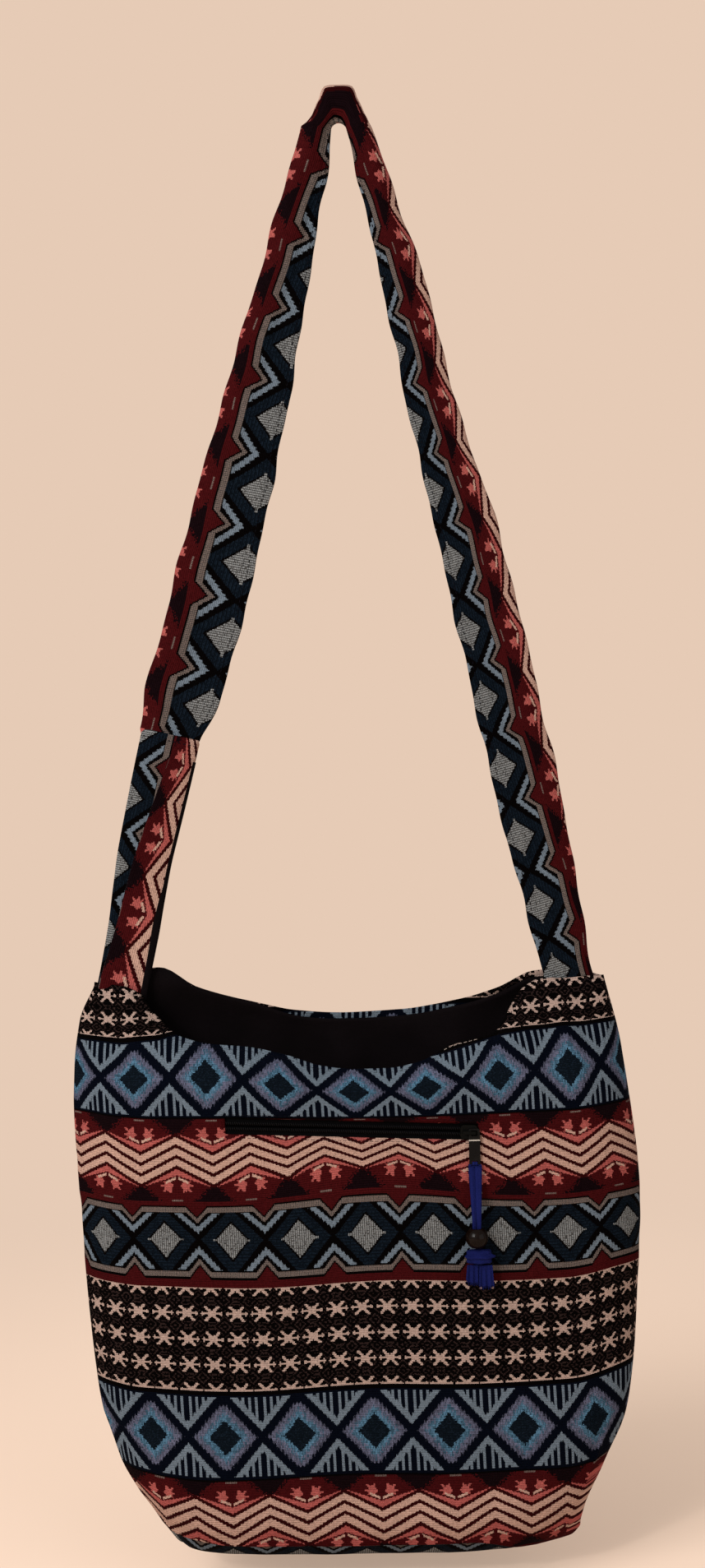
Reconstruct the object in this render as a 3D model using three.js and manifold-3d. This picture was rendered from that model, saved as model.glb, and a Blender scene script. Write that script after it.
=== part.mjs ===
// Shoulder bag of banded cloth, hanging by its strap: open mouth, lining, front zip pocket, tassel pull.
// Millimetres, +Z up. The origin is where the strap bears on what holds it, and the front faces -Y.
import * as THREE from "three";
import { mergeVertices } from "three/addons/utils/BufferGeometryUtils.js";
import Module from "manifold-3d";

const wasm = await Module();
wasm.setup();

// Bag body
const strapDrop = 549;
const bagHeight = 363;
const bagWidth = 357;
const frontBulge = 38;
const backBulge = 26;
const baseRadius = 34;
const cornerRise = 9;
const baseLean = 3.5;
const clothThickness = 1.4;
const liningThickness = 0.7;
const seamGap = 0.3;

// Mouth between the two ears: drops are measured from the tops of the ears
const frontMouthDrop = 52;
const backMouthDrop = 24;
const leftEarWidth = 37.1;
const rightEarWidth = 40.4;
const shoulderWidth = 28;
const rimLean = 12;
const rimRipple = 2.5;
const rimFade = 12;

// Strap: a flat cloth tube, gathered where it bears and spread out further down
const bearingRadius = 4.5;
const gatheredWidth = 24;
const gatheredThickness = 13;
const leftStrapWidth = 49;
const rightStrapWidth = 42;
const strapThickness = 7;
const strapSpread = 290;
const rightStrapBow = 3.5;
const strapPleat = 0.07;
const pleatReach = 120;
const leftEarInset = 19.6;
const rightEarInset = 22.4;
const earStrapWidth = 32;
const earStrapThickness = 4.6;
const earRoom = 2.6;
const strapTuck = 14;
const strapTaper = 130;

// Stub: the short sleeve on the left ear that the strap is sewn into
const stubLength = 163;
const stubTopWidth = 38;
const stubTopThickness = 9.6;
const sleeveDepth = 20;
const sleeveWidth = 33;
const sleeveThickness = 5;
const sleeveTaper = 28;

// Zip across the front
const zipLength = 158;
const zipSlotHeight = 10;
const zipTilt = THREE.MathUtils.degToRad(2.4);
const zipMiddle = -3.8;
const zipDrop = 88;
const tapeWidth = 12;
const tapeThickness = 0.6;
const tapeOverlap = 6;
const coilWidth = 2.3;
const coilHeight = 1.7;
const coilSpacing = 1.1;

// Zip slider and its bridge
const sliderLength = 10.5;
const sliderWidth = 8.6;
const sliderCorner = 2.2;
const sliderEndRoom = 1;
const topPlate = 1.2;
const bottomPlate = 1;
const flangeWidth = 0.8;
const postLength = 2;
const postWidth = 0.5;
const bridgeLeg = 1.4;
const bridgeWidth = 1.8;
const bridgeSpan = 6.4;
const bridgeRoom = 1.9;
const bridgeBar = 1.1;

// Pull tab
const tabReach = 20;
const tabWidth = 5.8;
const tabThickness = 1;
const tabRim = 1.3;
const tabBar = 1.6;
const tabSlotHeight = 2;

// Tassel
const cordDiameter = 3;
const cordSpacingTop = 4.1;
const cordSpacing = 3.15;
const cordTopRoom = 1.3;
const cordLength = 36;
const beadDiameter = 14;
const beadBore = 6.8;
const beadTravel = 8;
const knotWidth = 19;
const knotDepth = 12;
const knotHeight = 11;
const knotShift = 1.5;
const tailLength = 15;
const tailWidth = 7;
const tailThickness = 2.4;
const tailSpacing = 8.6;
const tailSplay = THREE.MathUtils.degToRad(5);
const tasselClearance = 0.6;

// Pocket pouch and the room that the front lining leaves for it
const pouchBeyondZip = 5;
const pouchWidth = zipLength + 2 * pouchBeyondZip;
const pouchHeight = 148;
const pouchAboveZip = 12;
const pouchThickness = 3;
const pouchWall = 0.6;
const pouchMouthBelow = 10;

// Facets, and the room that their flat faces take behind a curved one
const facetRoom = 0.6;
const columns = 18;
const mainRows = 11;
const baseRows = 5;
const rowEase = 1.3;
const strapSides = 16;
const legSteps = 10;
const turnSteps = 10;
const coilSides = 12;
const plateCornerSides = 3;
const tabCornerSides = 4;
const cordSteps = 14;
const cordQuarterSides = 4;
const beadSides = 20;
const beadArcSteps = 10;
const knotSides = 16;
const knotRows = 10;

// Outlines as [share of the height from the ears down, share of the half width or of the bulge]
const leftOutline = [
  [0, 0.936],
  [0.06, 0.99],
  [0.15, 1.012],
  [0.4, 0.99],
  [0.7, 0.938],
  [0.84, 0.855],
  [0.95, 0.705],
  [1, 0.63],
];
const rightOutline = [
  [0, 0.893],
  [0.12, 0.95],
  [0.38, 1.004],
  [0.6, 0.985],
  [0.73, 0.955],
  [0.85, 0.86],
  [0.93, 0.785],
  [1, 0.75],
];
const frontProfile = [
  [0, 0],
  [0.07, 0.46],
  [0.13, 0.86],
  [0.18, 1],
  [0.78, 1],
  [1, 0.94],
];
const backProfile = [
  [0, 0],
  [0.066, 0.68],
  [0.15, 0.94],
  [0.2, 1],
  [0.78, 1],
  [1, 0.94],
];

// Shares that give the cross-sections and the rim their form
const earPower = 8;
const bodyPower = 4.6;
const earPowerEnd = 0.13;
const shoulderShare = 0.55;
const sectionPower = 2.6;
const rippleWaves = 3;
const pleats = 5;

const smoothstep = THREE.MathUtils.smoothstep;
const lerp = THREE.MathUtils.lerp;

// Smooth curve through [position, value] points that never overshoots them, read at one position
function profile(points, position) {
  const last = points.length - 1;
  let i = 0;
  while (i < last - 1 && position > points[i + 1][0]) {
    i += 1;
  }
  const rate = (k) => (points[k + 1][1] - points[k][1]) / (points[k + 1][0] - points[k][0]);
  const slope = (k) => {
    const before = rate(Math.max(k - 1, 0));
    const after = rate(Math.min(k, last - 1));
    return before * after > 0 ? (2 * before * after) / (before + after) : 0;
  };
  const span = points[i + 1][0] - points[i][0];
  const s = THREE.MathUtils.clamp((position - points[i][0]) / span, 0, 1);
  const rise = s * s * (3 - 2 * s);
  const start = s * (1 - s) * (1 - s) * span * slope(i);
  const end = s * s * (s - 1) * span * slope(i + 1);
  return lerp(points[i][1], points[i + 1][1], rise) + start + end;
}

// Closed triangle mesh, turned so that its faces point outwards
function closedGeometry(points, triangles) {
  const volume = triangles.reduce((sum, [a, b, c]) => {
    const normal = new THREE.Vector3().crossVectors(points[b], points[c]);
    return sum + points[a].dot(normal);
  }, 0);
  const outward = volume > 0 ? triangles : triangles.map(([a, b, c]) => [a, c, b]);
  const geometry = new THREE.BufferGeometry().setFromPoints(points);
  geometry.setIndex(outward.flat());
  geometry.computeVertexNormals();
  return geometry;
}

function splitQuad([a, b, c, d]) {
  return [
    [a, b, c],
    [a, c, d],
  ];
}

// Sheet with thickness, from the grids of points on its two faces
function sheetGeometry(near, far) {
  const bottom = near.length - 1;
  const right = near[0].length - 1;
  const points = [...near.flat(), ...far.flat()];
  const nearAt = (r, c) => r * (right + 1) + c;
  const farAt = (r, c) => nearAt(bottom + 1 + r, c);
  const quads = [];
  for (let r = 0; r < bottom; r += 1) {
    for (let c = 0; c < right; c += 1) {
      quads.push([nearAt(r, c), nearAt(r, c + 1), nearAt(r + 1, c + 1), nearAt(r + 1, c)]);
      quads.push([farAt(r, c), farAt(r + 1, c), farAt(r + 1, c + 1), farAt(r, c + 1)]);
    }
    quads.push([nearAt(r, 0), nearAt(r + 1, 0), farAt(r + 1, 0), farAt(r, 0)]);
    quads.push([nearAt(r + 1, right), nearAt(r, right), farAt(r, right), farAt(r + 1, right)]);
  }
  for (let c = 0; c < right; c += 1) {
    quads.push([nearAt(0, c + 1), nearAt(0, c), farAt(0, c), farAt(0, c + 1)]);
    quads.push([nearAt(bottom, c), nearAt(bottom, c + 1), farAt(bottom, c + 1), farAt(bottom, c)]);
  }
  return closedGeometry(points, quads.flatMap(splitQuad));
}

// Solid through a row of rings with equally many points, closed by a fan at each end
function loftGeometry(rings) {
  const sides = rings[0].length;
  const points = rings.flat();
  const triangles = [];
  for (let r = 0; r < rings.length - 1; r += 1) {
    for (let k = 0; k < sides; k += 1) {
      const next = (k + 1) % sides;
      const quad = [r * sides + k, r * sides + next, (r + 1) * sides + next, (r + 1) * sides + k];
      triangles.push(...splitQuad(quad));
    }
  }
  for (const [ring, first] of [[rings[0], 0], [rings.at(-1), points.length - sides]]) {
    const middle = new THREE.Vector3();
    ring.forEach((p) => middle.addScaledVector(p, 1 / sides));
    const hub = points.push(middle) - 1;
    for (let k = 0; k < sides; k += 1) {
      const edge = [first + k, first + ((k + 1) % sides)];
      triangles.push(first === 0 ? [hub, edge[1], edge[0]] : [hub, edge[0], edge[1]]);
    }
  }
  return closedGeometry(points, triangles);
}

// Joins and cuts
function toSolid(geometry) {
  const bare = new THREE.BufferGeometry().setAttribute("position", geometry.getAttribute("position"));
  bare.setIndex(geometry.index);
  const merged = mergeVertices(bare);
  const triVerts = new Uint32Array(merged.index.array);
  const vertProperties = merged.getAttribute("position").array;
  return new wasm.Manifold(new wasm.Mesh({ numProp: 3, vertProperties, triVerts }));
}

function toGeometry(solid) {
  const mesh = solid.getMesh();
  const geometry = new THREE.BufferGeometry();
  geometry.setAttribute("position", new THREE.BufferAttribute(mesh.vertProperties, 3));
  geometry.setIndex(new THREE.BufferAttribute(mesh.triVerts, 1));
  geometry.computeVertexNormals();
  return geometry;
}

function joined(geometries) {
  return toGeometry(geometries.map(toSolid).reduce((sum, solid) => sum.add(solid)));
}

function cut(geometry, tools) {
  return toGeometry(tools.map(toSolid).reduce((rest, tool) => rest.subtract(tool), toSolid(geometry)));
}

function box(x0, x1, y0, y1, z0, z1) {
  const geometry = new THREE.BoxGeometry(x1 - x0, y1 - y0, z1 - z0);
  return geometry.translate((x0 + x1) / 2, (y0 + y1) / 2, (z0 + z1) / 2);
}

function piece(name, geometry, material) {
  const mesh = new THREE.Mesh(geometry, material);
  mesh.name = name;
  return mesh;
}

function halfWidth(across, down) {
  return (profile(across < 0 ? leftOutline : rightOutline, down) * bagWidth) / 2;
}

// Drop of the mouth's rim below the ears; the front has a steep shoulder beside each ear
function rimDrop(side, across) {
  const top = halfWidth(across, 0);
  const reach = top - (across < 0 ? leftEarWidth : rightEarWidth);
  const inside = reach - Math.abs(across) * top;
  const arc = Math.sin((Math.PI / 2) * THREE.MathUtils.clamp(inside / reach, 0, 1));
  const bowl = side < 0 ? arc ** 2 : arc;
  const shoulder = smoothstep(inside, 0, shoulderWidth);
  const share = side < 0 ? shoulderShare : 0;
  const drop = side < 0 ? frontMouthDrop : backMouthDrop;
  return drop * (share * shoulder + (1 - share) * bowl);
}

// Depth of the outer cloth in the middle; the ears are as deep as the strap and the layers around it
function bulge(side, down) {
  const ear = earStrapThickness / 2 + liningThickness + clothThickness + earRoom;
  return side < 0
    ? lerp(ear, frontBulge, profile(frontProfile, down))
    : lerp(ear, backBulge, profile(backProfile, down));
}

// Fullness of a level cross-section, 1 in the middle and 0 at the side seams
function fullness(across, down) {
  const power = lerp(earPower, bodyPower, smoothstep(down, 0, earPowerEnd));
  return Math.sqrt(Math.max(0, 1 - Math.abs(across) ** power));
}

// Point of a body layer: side -1 front or 1 back, u from -1 to 1 across
// Row 0 is the rim, 1 the start of the base's curve and 2 the seam under the bag
function bodyPoint(side, u, row, layer) {
  const across = Math.sin((u * Math.PI) / 2);
  const top = -strapDrop - rimDrop(side, across);
  const rise = cornerRise * across ** 2 + baseLean * across;
  const base = -strapDrop - bagHeight + rise + layer.inset;
  const curve = baseRadius - layer.inset;
  const turn = (Math.max(row - 1, 0) * Math.PI) / 2;
  const z = row < 1 ? lerp(top, base + curve, row) : base + curve * (1 - Math.sin(turn));
  const down = THREE.MathUtils.clamp((-strapDrop - z) / bagHeight, 0, 1);
  const ripple = Math.sin(u * rippleWaves * Math.PI) * (1 - across ** 2) * rimRipple;
  const fade = 1 - smoothstep(top - z, 0, rimFade);
  const lean = side < 0 ? rimLean * (1 - across ** 2) ** 2 : 0;
  const depth = (bulge(side, down) - layer.depth(side, top - z)) * fullness(across, down) * Math.cos(turn);
  const x = (halfWidth(across, down) - layer.inset) * across;
  return new THREE.Vector3(x, side * (depth + seamGap / 2) + (ripple + lean) * fade, z);
}

function bodyGrid(side, layer) {
  const rows = [];
  for (let r = 0; r <= mainRows + baseRows; r += 1) {
    const row = r <= mainRows ? (r / mainRows) ** rowEase : 1 + (r - mainRows) / baseRows;
    const along = (_, c) => bodyPoint(side, -1 + (2 * c) / columns, row, layer);
    rows.push(Array.from({ length: columns + 1 }, along));
  }
  return rows;
}

// Depths of the layers behind the front at the zip, from the outer face inwards
const zipHeight = -strapDrop - zipDrop;
const tapeLength = zipLength + 2 * tapeOverlap;
const tapeEnd = tapeLength / 2 + Math.abs(zipMiddle);
const tapeTopDown = (zipDrop - tapeWidth - Math.sin(zipTilt) * tapeEnd) / bagHeight;
const tapeEndFullness = fullness(tapeEnd / halfWidth(1, tapeTopDown), tapeTopDown);
const tapeFront = -(bulge(-1, tapeTopDown) - clothThickness) * tapeEndFullness + facetRoom;
const tapeBack = tapeFront + tapeThickness;
const coilFront = tapeFront - seamGap - coilHeight;
const plateFront = coilFront - seamGap - topPlate;
const sliderBack = tapeBack + seamGap + bottomPlate;
const pouchFront = sliderBack + seamGap;
const pouchBack = pouchFront + pouchThickness;
const liningFront = pouchBack + seamGap;

const outerLayer = { inset: 0, depth: () => 0 };
const outerInside = { inset: clothThickness, depth: () => clothThickness };

// Face of the lining at one distance from the outer cloth; the front stands off by the room for the pouch
function liningLayer(standoff) {
  const inset = clothThickness + seamGap + standoff;
  const room = frontBulge + liningFront - clothThickness - seamGap;
  return {
    inset,
    depth: (side, below) => inset + (side < 0 ? room * smoothstep(below, 0, rimFade) : 0),
  };
}

const cloth = new THREE.MeshStandardMaterial({ color: 0x3a3f55, roughness: 0.95, metalness: 0 });
const backCloth = new THREE.MeshStandardMaterial({ color: 0x383c50, roughness: 0.95, metalness: 0 });
const strapCloth = new THREE.MeshStandardMaterial({ color: 0x5b2026, roughness: 0.95, metalness: 0 });
const liningCloth = new THREE.MeshStandardMaterial({ color: 0x120f12, roughness: 0.9, metalness: 0 });
const zipBlack = new THREE.MeshStandardMaterial({ color: 0x0b0a0c, roughness: 0.6, metalness: 0 });
const enamel = new THREE.MeshStandardMaterial({ color: 0x1c1719, roughness: 0.4, metalness: 0.3 });
const tasselBlue = new THREE.MeshStandardMaterial({ color: 0x24308a, roughness: 0.9, metalness: 0 });
const beadWood = new THREE.MeshStandardMaterial({ color: 0x3a1a0e, roughness: 0.3, metalness: 0 });

const bag = new THREE.Group();

// Outer cloth and lining
const zipPlace = new THREE.Matrix4().makeRotationY(zipTilt).setPosition(zipMiddle, 0, zipHeight);
const slot = box(-zipLength / 2, zipLength / 2, -2 * frontBulge, 0, -zipSlotHeight / 2, zipSlotHeight / 2);
slot.applyMatrix4(zipPlace);
const frontSheet = sheetGeometry(bodyGrid(-1, outerLayer), bodyGrid(-1, outerInside));
bag.add(piece("front_panel", cut(frontSheet, [slot]), cloth));
bag.add(piece("back_panel", sheetGeometry(bodyGrid(1, outerLayer), bodyGrid(1, outerInside)), backCloth));
for (const [name, side] of [["front_lining", -1], ["back_lining", 1]]) {
  const faces = [0, liningThickness].map((standoff) => bodyGrid(side, liningLayer(standoff)));
  bag.add(piece(name, sheetGeometry(...faces), liningCloth));
}

// Leg of the strap from the bearing to the top of an ear: side -1 left, 1 right
function strapLeg(side) {
  const reach = halfWidth(side, 0) - (side < 0 ? leftEarInset : rightEarInset);
  const turnRadius = bearingRadius + gatheredWidth / 2;
  const fall = strapDrop - bearingRadius;
  const span = Math.hypot(reach, fall);
  const lean = Math.atan2(reach, fall) - Math.asin(turnRadius / span);
  const length = Math.sqrt(span ** 2 - turnRadius ** 2);
  const outward = new THREE.Vector3(side * Math.cos(lean), 0, Math.sin(lean));
  const along = new THREE.Vector3(side * Math.sin(lean), 0, -Math.cos(lean));
  const start = new THREE.Vector3(0, 0, -bearingRadius).addScaledVector(outward, turnRadius);
  const centre = (distance) => {
    const bow = side < 0 ? 0 : rightStrapBow * Math.sin(Math.PI * Math.min(distance / length, 1));
    return start.clone().addScaledVector(along, distance).addScaledVector(outward, bow);
  };
  return { lean, length, outward, centre, turnRadius };
}

// Ring of the strap's cross-section, with lengthwise pleats where it is gathered
function strapRing(centre, outward, width, thickness, pleat) {
  return Array.from({ length: strapSides }, (_, k) => {
    const angle = (2 * Math.PI * k) / strapSides;
    const swell = 1 + pleat * Math.cos(pleats * angle);
    const c = Math.sign(Math.cos(angle)) * Math.abs(Math.cos(angle)) ** (2 / sectionPower);
    const s = Math.sign(Math.sin(angle)) * Math.abs(Math.sin(angle)) ** (2 / sectionPower);
    const point = centre.clone().addScaledVector(outward, (c * swell * width) / 2);
    point.y += (s * swell * thickness) / 2;
    return point;
  });
}

const left = strapLeg(-1);
const right = strapLeg(1);
const stubTop = left.length - stubLength;

// Width, thickness and pleating of the strap at a distance down one leg
function strapSize(side, distance) {
  const spread = smoothstep(distance, 0, strapSpread);
  const end = side < 0 ? stubTop : right.length;
  const taper = side < 0 ? sleeveTaper : strapTaper;
  const narrow = smoothstep(distance, end - taper, end);
  const endWidth = side < 0 ? sleeveWidth : earStrapWidth;
  const endThickness = side < 0 ? sleeveThickness : earStrapThickness;
  const fullWidth = side < 0 ? leftStrapWidth : rightStrapWidth;
  const pleat = strapPleat * (1 - smoothstep(distance, 0, pleatReach));
  const width = lerp(lerp(gatheredWidth, fullWidth, spread), endWidth, narrow);
  return [width, lerp(lerp(gatheredThickness, strapThickness, spread), endThickness, narrow), pleat];
}

function legRings(side, leg, reach) {
  return Array.from({ length: legSteps }, (_, k) => {
    const distance = (reach * (k + 1)) / legSteps;
    return strapRing(leg.centre(distance), leg.outward, ...strapSize(side, distance));
  });
}

// Strap from its end in the stub, over the bearing, down to its end in the right ear
const turnRings = Array.from({ length: turnSteps + 1 }, (_, k) => {
  const angle = lerp(Math.PI - left.lean, right.lean, k / turnSteps);
  const outward = new THREE.Vector3(Math.cos(angle), 0, Math.sin(angle));
  const centre = new THREE.Vector3(0, 0, -bearingRadius).addScaledVector(outward, left.turnRadius);
  return strapRing(centre, outward, ...strapSize(1, 0));
});
const strapEnd = stubTop + sleeveDepth;
const leftRings = [
  ...legRings(-1, left, stubTop),
  strapRing(left.centre(strapEnd), left.outward, sleeveWidth, sleeveThickness, 0),
];
const rightRings = [
  ...legRings(1, right, right.length),
  strapRing(right.centre(right.length + strapTuck), right.outward, earStrapWidth, earStrapThickness, 0),
];
bag.add(piece("strap", loftGeometry([...leftRings.reverse(), ...turnRings, ...rightRings]), strapCloth));

// Stub, hollowed at the top for the strap's end
const stubRings = Array.from({ length: legSteps + 1 }, (_, k) => {
  const share = k / legSteps;
  const distance = stubTop + share * (stubLength + strapTuck);
  const narrow = smoothstep(distance, stubTop, left.length);
  const width = lerp(stubTopWidth, earStrapWidth, narrow);
  const thickness = lerp(stubTopThickness, earStrapThickness, narrow);
  return strapRing(left.centre(distance), left.outward, width, thickness, 0);
});
const sleeveRings = [-seamGap, sleeveDepth + seamGap].map((offset) => {
  const centre = left.centre(stubTop + offset);
  return strapRing(centre, left.outward, sleeveWidth + 2 * seamGap, sleeveThickness + 2 * seamGap, 0);
});
bag.add(piece("strap_stub", cut(loftGeometry(stubRings), [loftGeometry(sleeveRings)]), strapCloth));

// Zip tapes and coils, in a group turned to the slant of the zip
const zip = new THREE.Group();
zip.applyMatrix4(zipPlace);
bag.add(zip);
for (const [name, way] of [["upper", 1], ["lower", -1]]) {
  const tape = new THREE.BoxGeometry(tapeLength, tapeThickness, tapeWidth);
  const tapeMesh = piece("zip_tape_" + name, tape, zipBlack);
  tapeMesh.position.set(0, (tapeFront + tapeBack) / 2, (way * (coilSpacing + tapeWidth)) / 2);
  const coilRadius = coilWidth / 2;
  const coil = new THREE.CylinderGeometry(coilRadius, coilRadius, zipLength - 2 * seamGap, coilSides);
  coil.rotateZ(Math.PI / 2).scale(1, coilHeight / coilWidth, 1);
  const coilMesh = piece("zip_coil_" + name, coil, zipBlack);
  coilMesh.position.set(0, coilFront + coilHeight / 2, (way * (coilSpacing + coilWidth)) / 2);
  zip.add(tapeMesh, coilMesh);
}

// Plate with rounded corners, standing in the XZ plane between two depths
function roundedPlate(length, width, corner, y0, y1) {
  const shape = new THREE.Shape();
  const x = length / 2;
  const z = width / 2;
  shape.moveTo(-x + corner, -z);
  shape.absarc(x - corner, -z + corner, corner, -Math.PI / 2, 0);
  shape.absarc(x - corner, z - corner, corner, 0, Math.PI / 2);
  shape.absarc(-x + corner, z - corner, corner, Math.PI / 2, Math.PI);
  shape.absarc(-x + corner, -z + corner, corner, Math.PI, 1.5 * Math.PI);
  const options = { depth: y1 - y0, bevelEnabled: false, curveSegments: plateCornerSides };
  const plate = new THREE.ExtrudeGeometry(shape, options);
  return plate.rotateX(Math.PI / 2).translate(0, y1, 0);
}

// Slider: two plates around the coils, joined by a post between them, with flanges and a bridge for the tab
const sliderPlace = zipLength / 2 - sliderEndRoom - sliderLength / 2;
const postEnd = sliderLength / 2 - sliderCorner / 2;
const flangeOut = sliderWidth / 2;
const flangeReach = sliderLength / 2 - sliderCorner;
const plateBack = plateFront + topPlate;
const bridgeIn = plateFront - bridgeRoom;
const bridgeOut = bridgeIn - bridgeBar;
const bridgeEnd = (bridgeSpan + bridgeLeg) / 2;
const bridgeInner = (bridgeSpan - bridgeLeg) / 2;
const bridgeHalf = bridgeWidth / 2;
const postHalf = postWidth / 2;
const topMiddle = plateFront + topPlate / 2;
const bottomMiddle = sliderBack - bottomPlate / 2;
const flangeBack = tapeFront - seamGap;
const flangeIn = flangeOut - flangeWidth;
const sliderParts = [
  roundedPlate(sliderLength, sliderWidth, sliderCorner, plateFront, plateBack),
  roundedPlate(sliderLength, sliderWidth, sliderCorner, sliderBack - bottomPlate, sliderBack),
  box(postEnd - postLength, postEnd, topMiddle, bottomMiddle, -postHalf, postHalf),
  box(-flangeReach, flangeReach, topMiddle, flangeBack, flangeIn, flangeOut),
  box(-flangeReach, flangeReach, topMiddle, flangeBack, -flangeOut, -flangeIn),
  box(bridgeInner, bridgeEnd, bridgeOut, topMiddle, -bridgeHalf, bridgeHalf),
  box(-bridgeEnd, -bridgeInner, bridgeOut, topMiddle, -bridgeHalf, bridgeHalf),
  box(-bridgeEnd, bridgeEnd, bridgeOut, bridgeIn, -bridgeHalf, bridgeHalf),
];
const slider = piece("zip_slider", joined(sliderParts), enamel);
slider.position.x = sliderPlace;
zip.add(slider);

// Pull tab, hanging plumb from the bridge's right leg, with an eye for the leg and a slot for the cords
const pull = new THREE.Group();
pull.position.set(sliderPlace + bridgeSpan / 2, (plateFront + bridgeIn) / 2, 0).applyMatrix4(zipPlace);
bag.add(pull);
const eyeTop = bridgeWidth / 2 + seamGap;
const eyeBottom = eyeTop - tabWidth + 2 * tabRim;
const tabOutline = new THREE.Shape();
tabOutline.moveTo(-tabWidth / 2, -tabReach);
tabOutline.lineTo(tabWidth / 2, -tabReach);
tabOutline.lineTo(tabWidth / 2, eyeTop);
tabOutline.absarc(tabWidth / 2 - tabRim, eyeTop, tabRim, 0, Math.PI / 2);
tabOutline.absarc(-tabWidth / 2 + tabRim, eyeTop, tabRim, Math.PI / 2, Math.PI);
const innerHalf = tabWidth / 2 - tabRim;
const slotBottom = -tabReach + tabBar;
for (const [bottom, top] of [[eyeBottom, eyeTop], [slotBottom, slotBottom + tabSlotHeight]]) {
  const hole = new THREE.Path();
  hole.moveTo(-innerHalf, bottom).lineTo(-innerHalf, top).lineTo(innerHalf, top).lineTo(innerHalf, bottom);
  tabOutline.holes.push(hole);
}
const tabOptions = { depth: tabThickness, bevelEnabled: false, curveSegments: tabCornerSides };
const tab = new THREE.ExtrudeGeometry(tabOutline, tabOptions);
tab.translate(0, 0, -tabThickness / 2).rotateX(Math.PI / 2);
pull.add(piece("pull_tab", tab, enamel));

// Tassel: its own frame has the tab's bottom bar as its origin
const tassel = new THREE.Group();
tassel.position.z = -tabReach + tabBar / 2;
pull.add(tassel);
const cordTop = -cordTopRoom;
const beadZ = cordTop - cordLength - beadDiameter / 2;
const beadHalfLength = Math.sqrt(beadDiameter ** 2 - beadBore ** 2) / 2;
const tasselBack = -frontBulge - seamGap / 2 - tasselClearance - pull.position.y;
const cordTopY = tasselBack - cordDiameter / 2;
const beadY = tasselBack - beadDiameter / 2;
const knotZ = beadZ - beadHalfLength - seamGap - knotHeight / 2;
const knotY = tasselBack - knotDepth / 2;
const straightTop = beadZ + beadHalfLength + beadTravel + cordDiameter / 2;
for (const [name, way] of [["left", -1], ["right", 1]]) {
  const route = new THREE.CatmullRomCurve3([
    new THREE.Vector3((way * cordSpacingTop) / 2, cordTopY, cordTop),
    new THREE.Vector3((way * cordSpacingTop) / 2, cordTopY, cordTop - cordDiameter),
    new THREE.Vector3((way * cordSpacing) / 2, beadY, straightTop),
    new THREE.Vector3((way * cordSpacing) / 2, beadY, beadZ),
    new THREE.Vector3((way * cordSpacing) / 2, beadY, knotZ + knotHeight / 2 + seamGap / 2),
  ]);
  const section = new THREE.Shape().absarc(0, 0, cordDiameter / 2, 0, 2 * Math.PI);
  const facets = { steps: cordSteps, curveSegments: cordQuarterSides };
  const options = { ...facets, bevelEnabled: false, extrudePath: route };
  tassel.add(piece("tassel_cord_" + name, new THREE.ExtrudeGeometry(section, options), tasselBlue));
  const tailCloth = new THREE.BoxGeometry(tailWidth, tailThickness, tailLength);
  tailCloth.translate(0, 0, -tailLength / 2);
  const tail = piece("tassel_tail_" + name, tailCloth, tasselBlue);
  tail.position.set(knotShift + (way * tailSpacing) / 2, knotY, knotZ - knotHeight / 2 - seamGap);
  tail.rotation.y = -way * tailSplay;
  tassel.add(tail);
}

const beadTurn = Math.asin(beadBore / beadDiameter);
const beadArc = Array.from({ length: beadArcSteps + 1 }, (_, k) => {
  const angle = lerp(Math.PI - beadTurn, beadTurn, k / beadArcSteps);
  return new THREE.Vector2(Math.sin(angle), Math.cos(angle)).multiplyScalar(beadDiameter / 2);
});
const beadGeometry = new THREE.LatheGeometry([...beadArc, beadArc[0]], beadSides).rotateX(Math.PI / 2);
const bead = piece("tassel_bead", beadGeometry, beadWood);
bead.position.set(0, beadY, beadZ);
const knotBall = new THREE.SphereGeometry(0.5, knotSides, knotRows).scale(knotWidth, knotHeight, knotDepth);
const knot = piece("tassel_knot", knotBall.rotateX(Math.PI / 2), tasselBlue);
knot.position.set(knotShift, knotY, knotZ);
tassel.add(bead, knot);

// Pouch: a flat cloth pocket that opens forwards at the zip
const pouchTop = zipHeight + pouchAboveZip;
const pouchHalf = pouchWidth / 2;
const pouchShell = box(-pouchHalf, pouchHalf, pouchFront, pouchBack, pouchTop - pouchHeight, pouchTop);
const pouchHollow = box(
  -pouchHalf + pouchWall,
  pouchHalf - pouchWall,
  pouchFront + pouchWall,
  pouchBack - pouchWall,
  pouchTop - pouchHeight + pouchWall,
  pouchTop - pouchWall,
);
const pouchMouth = box(
  -pouchHalf + pouchWall,
  pouchHalf - pouchWall,
  pouchFront - pouchWall,
  pouchFront + 2 * pouchWall,
  zipHeight - pouchMouthBelow,
  pouchTop - 2 * pouchWall,
);
const pouch = piece("pocket_pouch", cut(pouchShell, [pouchHollow, pouchMouth]), liningCloth);
pouch.position.x = zipMiddle;
bag.add(pouch);

export default bag;
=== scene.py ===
"""Shoulder bag of banded cloth, hanging by its strap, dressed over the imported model."""

import logging
import math
from dataclasses import dataclass, field
from enum import Enum
from typing import Any, Callable, Optional, Sequence, Union

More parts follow.
